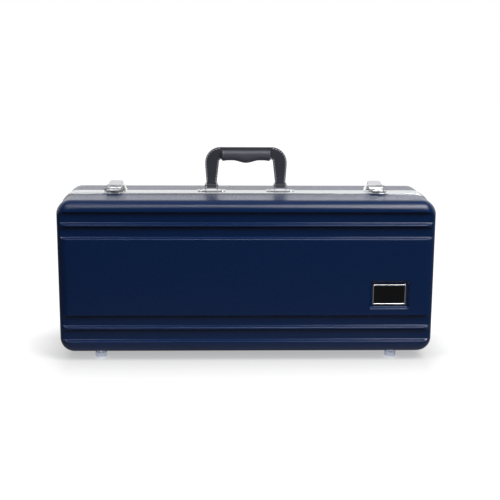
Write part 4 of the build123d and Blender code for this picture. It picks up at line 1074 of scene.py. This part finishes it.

# %% [markdown]
# The paper's own colour falls off away from the case, so that it throws less light on the
# glossy front. What the camera sees of it rises to full white over the same distance. Near the
# case that white is held back, which paints a shadow round the case's footprint.

# %% What each kind of ray finds
TONE_START, TONE_END = 0.10, 0.40
WHITE_FROM = 0.235
PAINTED_SHADOW_LIFT = 0.44
UNDER_START, UNDER_END = 0.03, 0.09
PAINTED_UNDER_GLOW = 2.0
MIRRORED_GLOW = 0.01
away = add_node(tree, "MapRange", Value=distance, From_Min=TONE_START, From_Max=TONE_END)
tone = add_node(
    tree, "Mix", {"data_type": "RGBA"}, i0=away, i6=linear("#8A8A8A"), i7=linear("#484848")
)
# Painted shadow: the white that the camera sees falls towards the case.
painted_shadow_lift = add_node(
    tree, "MapRange", Value=distance, From_Max=WHITE_FROM, To_Min=PAINTED_SHADOW_LIFT, To_Max=1.0
)
# Painted light: the paper glows under the case for scattered rays, though it is no lamp.
under = add_node(
    tree,
    "MapRange",
    Value=distance,
    From_Min=UNDER_START,
    From_Max=UNDER_END,
    To_Min=PAINTED_UNDER_GLOW,
    To_Max=0.0,
)
rays = add_node(tree, "LightPath").outputs
seen = add_node(tree, "Math", {"operation": "MULTIPLY"}, i0=rays["Is Camera Ray"], i1=painted_shadow_lift)
for ray, strength in (("Is Diffuse Ray", under), ("Is Glossy Ray", MIRRORED_GLOW)):
    part = add_node(tree, "Math", {"operation": "MULTIPLY"}, i0=rays[ray], i1=strength)
    seen = add_node(tree, "Math", {"operation": "ADD"}, i0=seen, i1=part)
feed(
    tree,
    shader,
    Base_Color=tone.outputs[2],
    Emission_Strength=seen,
    Emission_Color=(1, 1, 1, 1),
)
print("camera sees the paper white from", WHITE_FROM, "m off")

# %% [markdown]
# The sky stands for the room. A white sweep is behind the case, up to a set height, and both
# mirrors and soft light find it. In front and above, the room is dim. The camera sees white
# everywhere.

# %% Sky dome
SWEEP_TOP, SWEEP_FULL = 0.76, 0.54
SWEEP_SOFT = 0.4
ROOM_DIM, ROOM_BRIGHT = 0.05, 0.30
ROOM_SPAN, ASIDE_SHARE = 0.7, 0.6
world = bpy.data.worlds.new("studio")
bpy.context.scene.world = world
world.use_nodes = True
tree = world.node_tree
sky = add_node(tree, "TexCoord").outputs["Generated"]
direction = add_node(tree, "SeparateXYZ", Vector=sky).outputs
behind = add_node(tree, "MapRange", Value=direction[1], From_Min=0.0, From_Max=SWEEP_SOFT)
below = add_node(tree, "MapRange", Value=direction[2], From_Min=SWEEP_TOP, From_Max=SWEEP_FULL)
sweep = add_node(tree, "Math", {"operation": "MULTIPLY"}, i0=behind, i1=below)
square = add_node(tree, "Math", {"operation": "MULTIPLY"}, i0=direction[0], i1=direction[0])
aside = add_node(tree, "Math", {"operation": "MULTIPLY"}, i0=square, i1=ASIDE_SHARE)
slant = add_node(tree, "Math", {"operation": "ADD"}, i0=direction[1], i1=direction[2])
room = add_node(
    tree,
    "MapRange",
    Value=add_node(tree, "Math", {"operation": "SUBTRACT"}, i0=slant, i1=aside),
    From_Min=-ROOM_SPAN,
    From_Max=ROOM_SPAN,
    To_Min=ROOM_DIM,
    To_Max=ROOM_BRIGHT,
)
glow = add_node(tree, "Mix", Factor=sweep, i2=room, i3=1.0)
rays = add_node(tree, "LightPath").outputs
white = add_node(tree, "Mix", Factor=rays["Is Camera Ray"], i2=glow, i3=1.0)
feed(tree, tree.nodes["Background"], Strength=white, Color=(1, 1, 1, 1))
print("room strength", ROOM_DIM, "to", ROOM_BRIGHT)

# %% [markdown]
# Two softboxes stand in front, a little over 50 degrees above the floor, so each is mirrored
# in the round above the case's face. The right one is larger and stronger. A weak one between
# them joins their highlights.

# %% Lamps
LAMP_Y, LAMP_Z, AIM_Z = -1.25, 2.15, 0.2


def softbox(name, x, aim_x, width, tall, power):
    lamp = bpy.data.lights.new(name, "AREA")
    lamp.shape = "RECTANGLE"
    lamp.size = width
    lamp.size_y = tall
    lamp.energy = power
    holder = bpy.data.objects.new(name, lamp)
    holder.location = (x, LAMP_Y, LAMP_Z)
    aim = Vector((aim_x, 0, AIM_Z)) - Vector((x, LAMP_Y, LAMP_Z))
    holder.rotation_euler = aim.to_track_quat("-Z", "Y").to_euler()
    bpy.context.scene.collection.objects.link(holder)
    print(name, power, "W")


softbox("right softbox", x=1.10, aim_x=0.15, width=1.10, tall=1.30, power=61)
softbox("left softbox", x=-0.85, aim_x=-0.15, width=0.50, tall=1.30, power=14)
softbox("long softbox", x=0, aim_x=0, width=1.20, tall=1.20, power=1.5)

# %% [markdown]
# The camera's place and lens were worked out from the case's outline in the photograph: it
# stands a little to the left, looks down by 12 degrees and is turned slightly to the right.

# %% Camera
CAMERA_PLACE = (-0.042, -1.830, 0.5714)
YAW, PITCH, ROLL = (math.radians(a) for a in (1.56, 12.1, 0.32))
lens = bpy.data.cameras.new("camera")
lens.lens = 74.6
lens.sensor_width = 36
camera = bpy.data.objects.new("camera", lens)
camera.matrix_world = (
    Matrix.Translation(CAMERA_PLACE)
    @ Matrix.Rotation(-YAW, 4, "Z")
    @ Matrix.Rotation(math.pi / 2 - PITCH, 4, "X")
    @ Matrix.Rotation(ROLL, 4, "Z")
)
bpy.context.scene.collection.objects.link(camera)
bpy.context.scene.camera = camera
bpy.context.scene.view_settings.view_transform = "Standard"
print("camera at", CAMERA_PLACE)
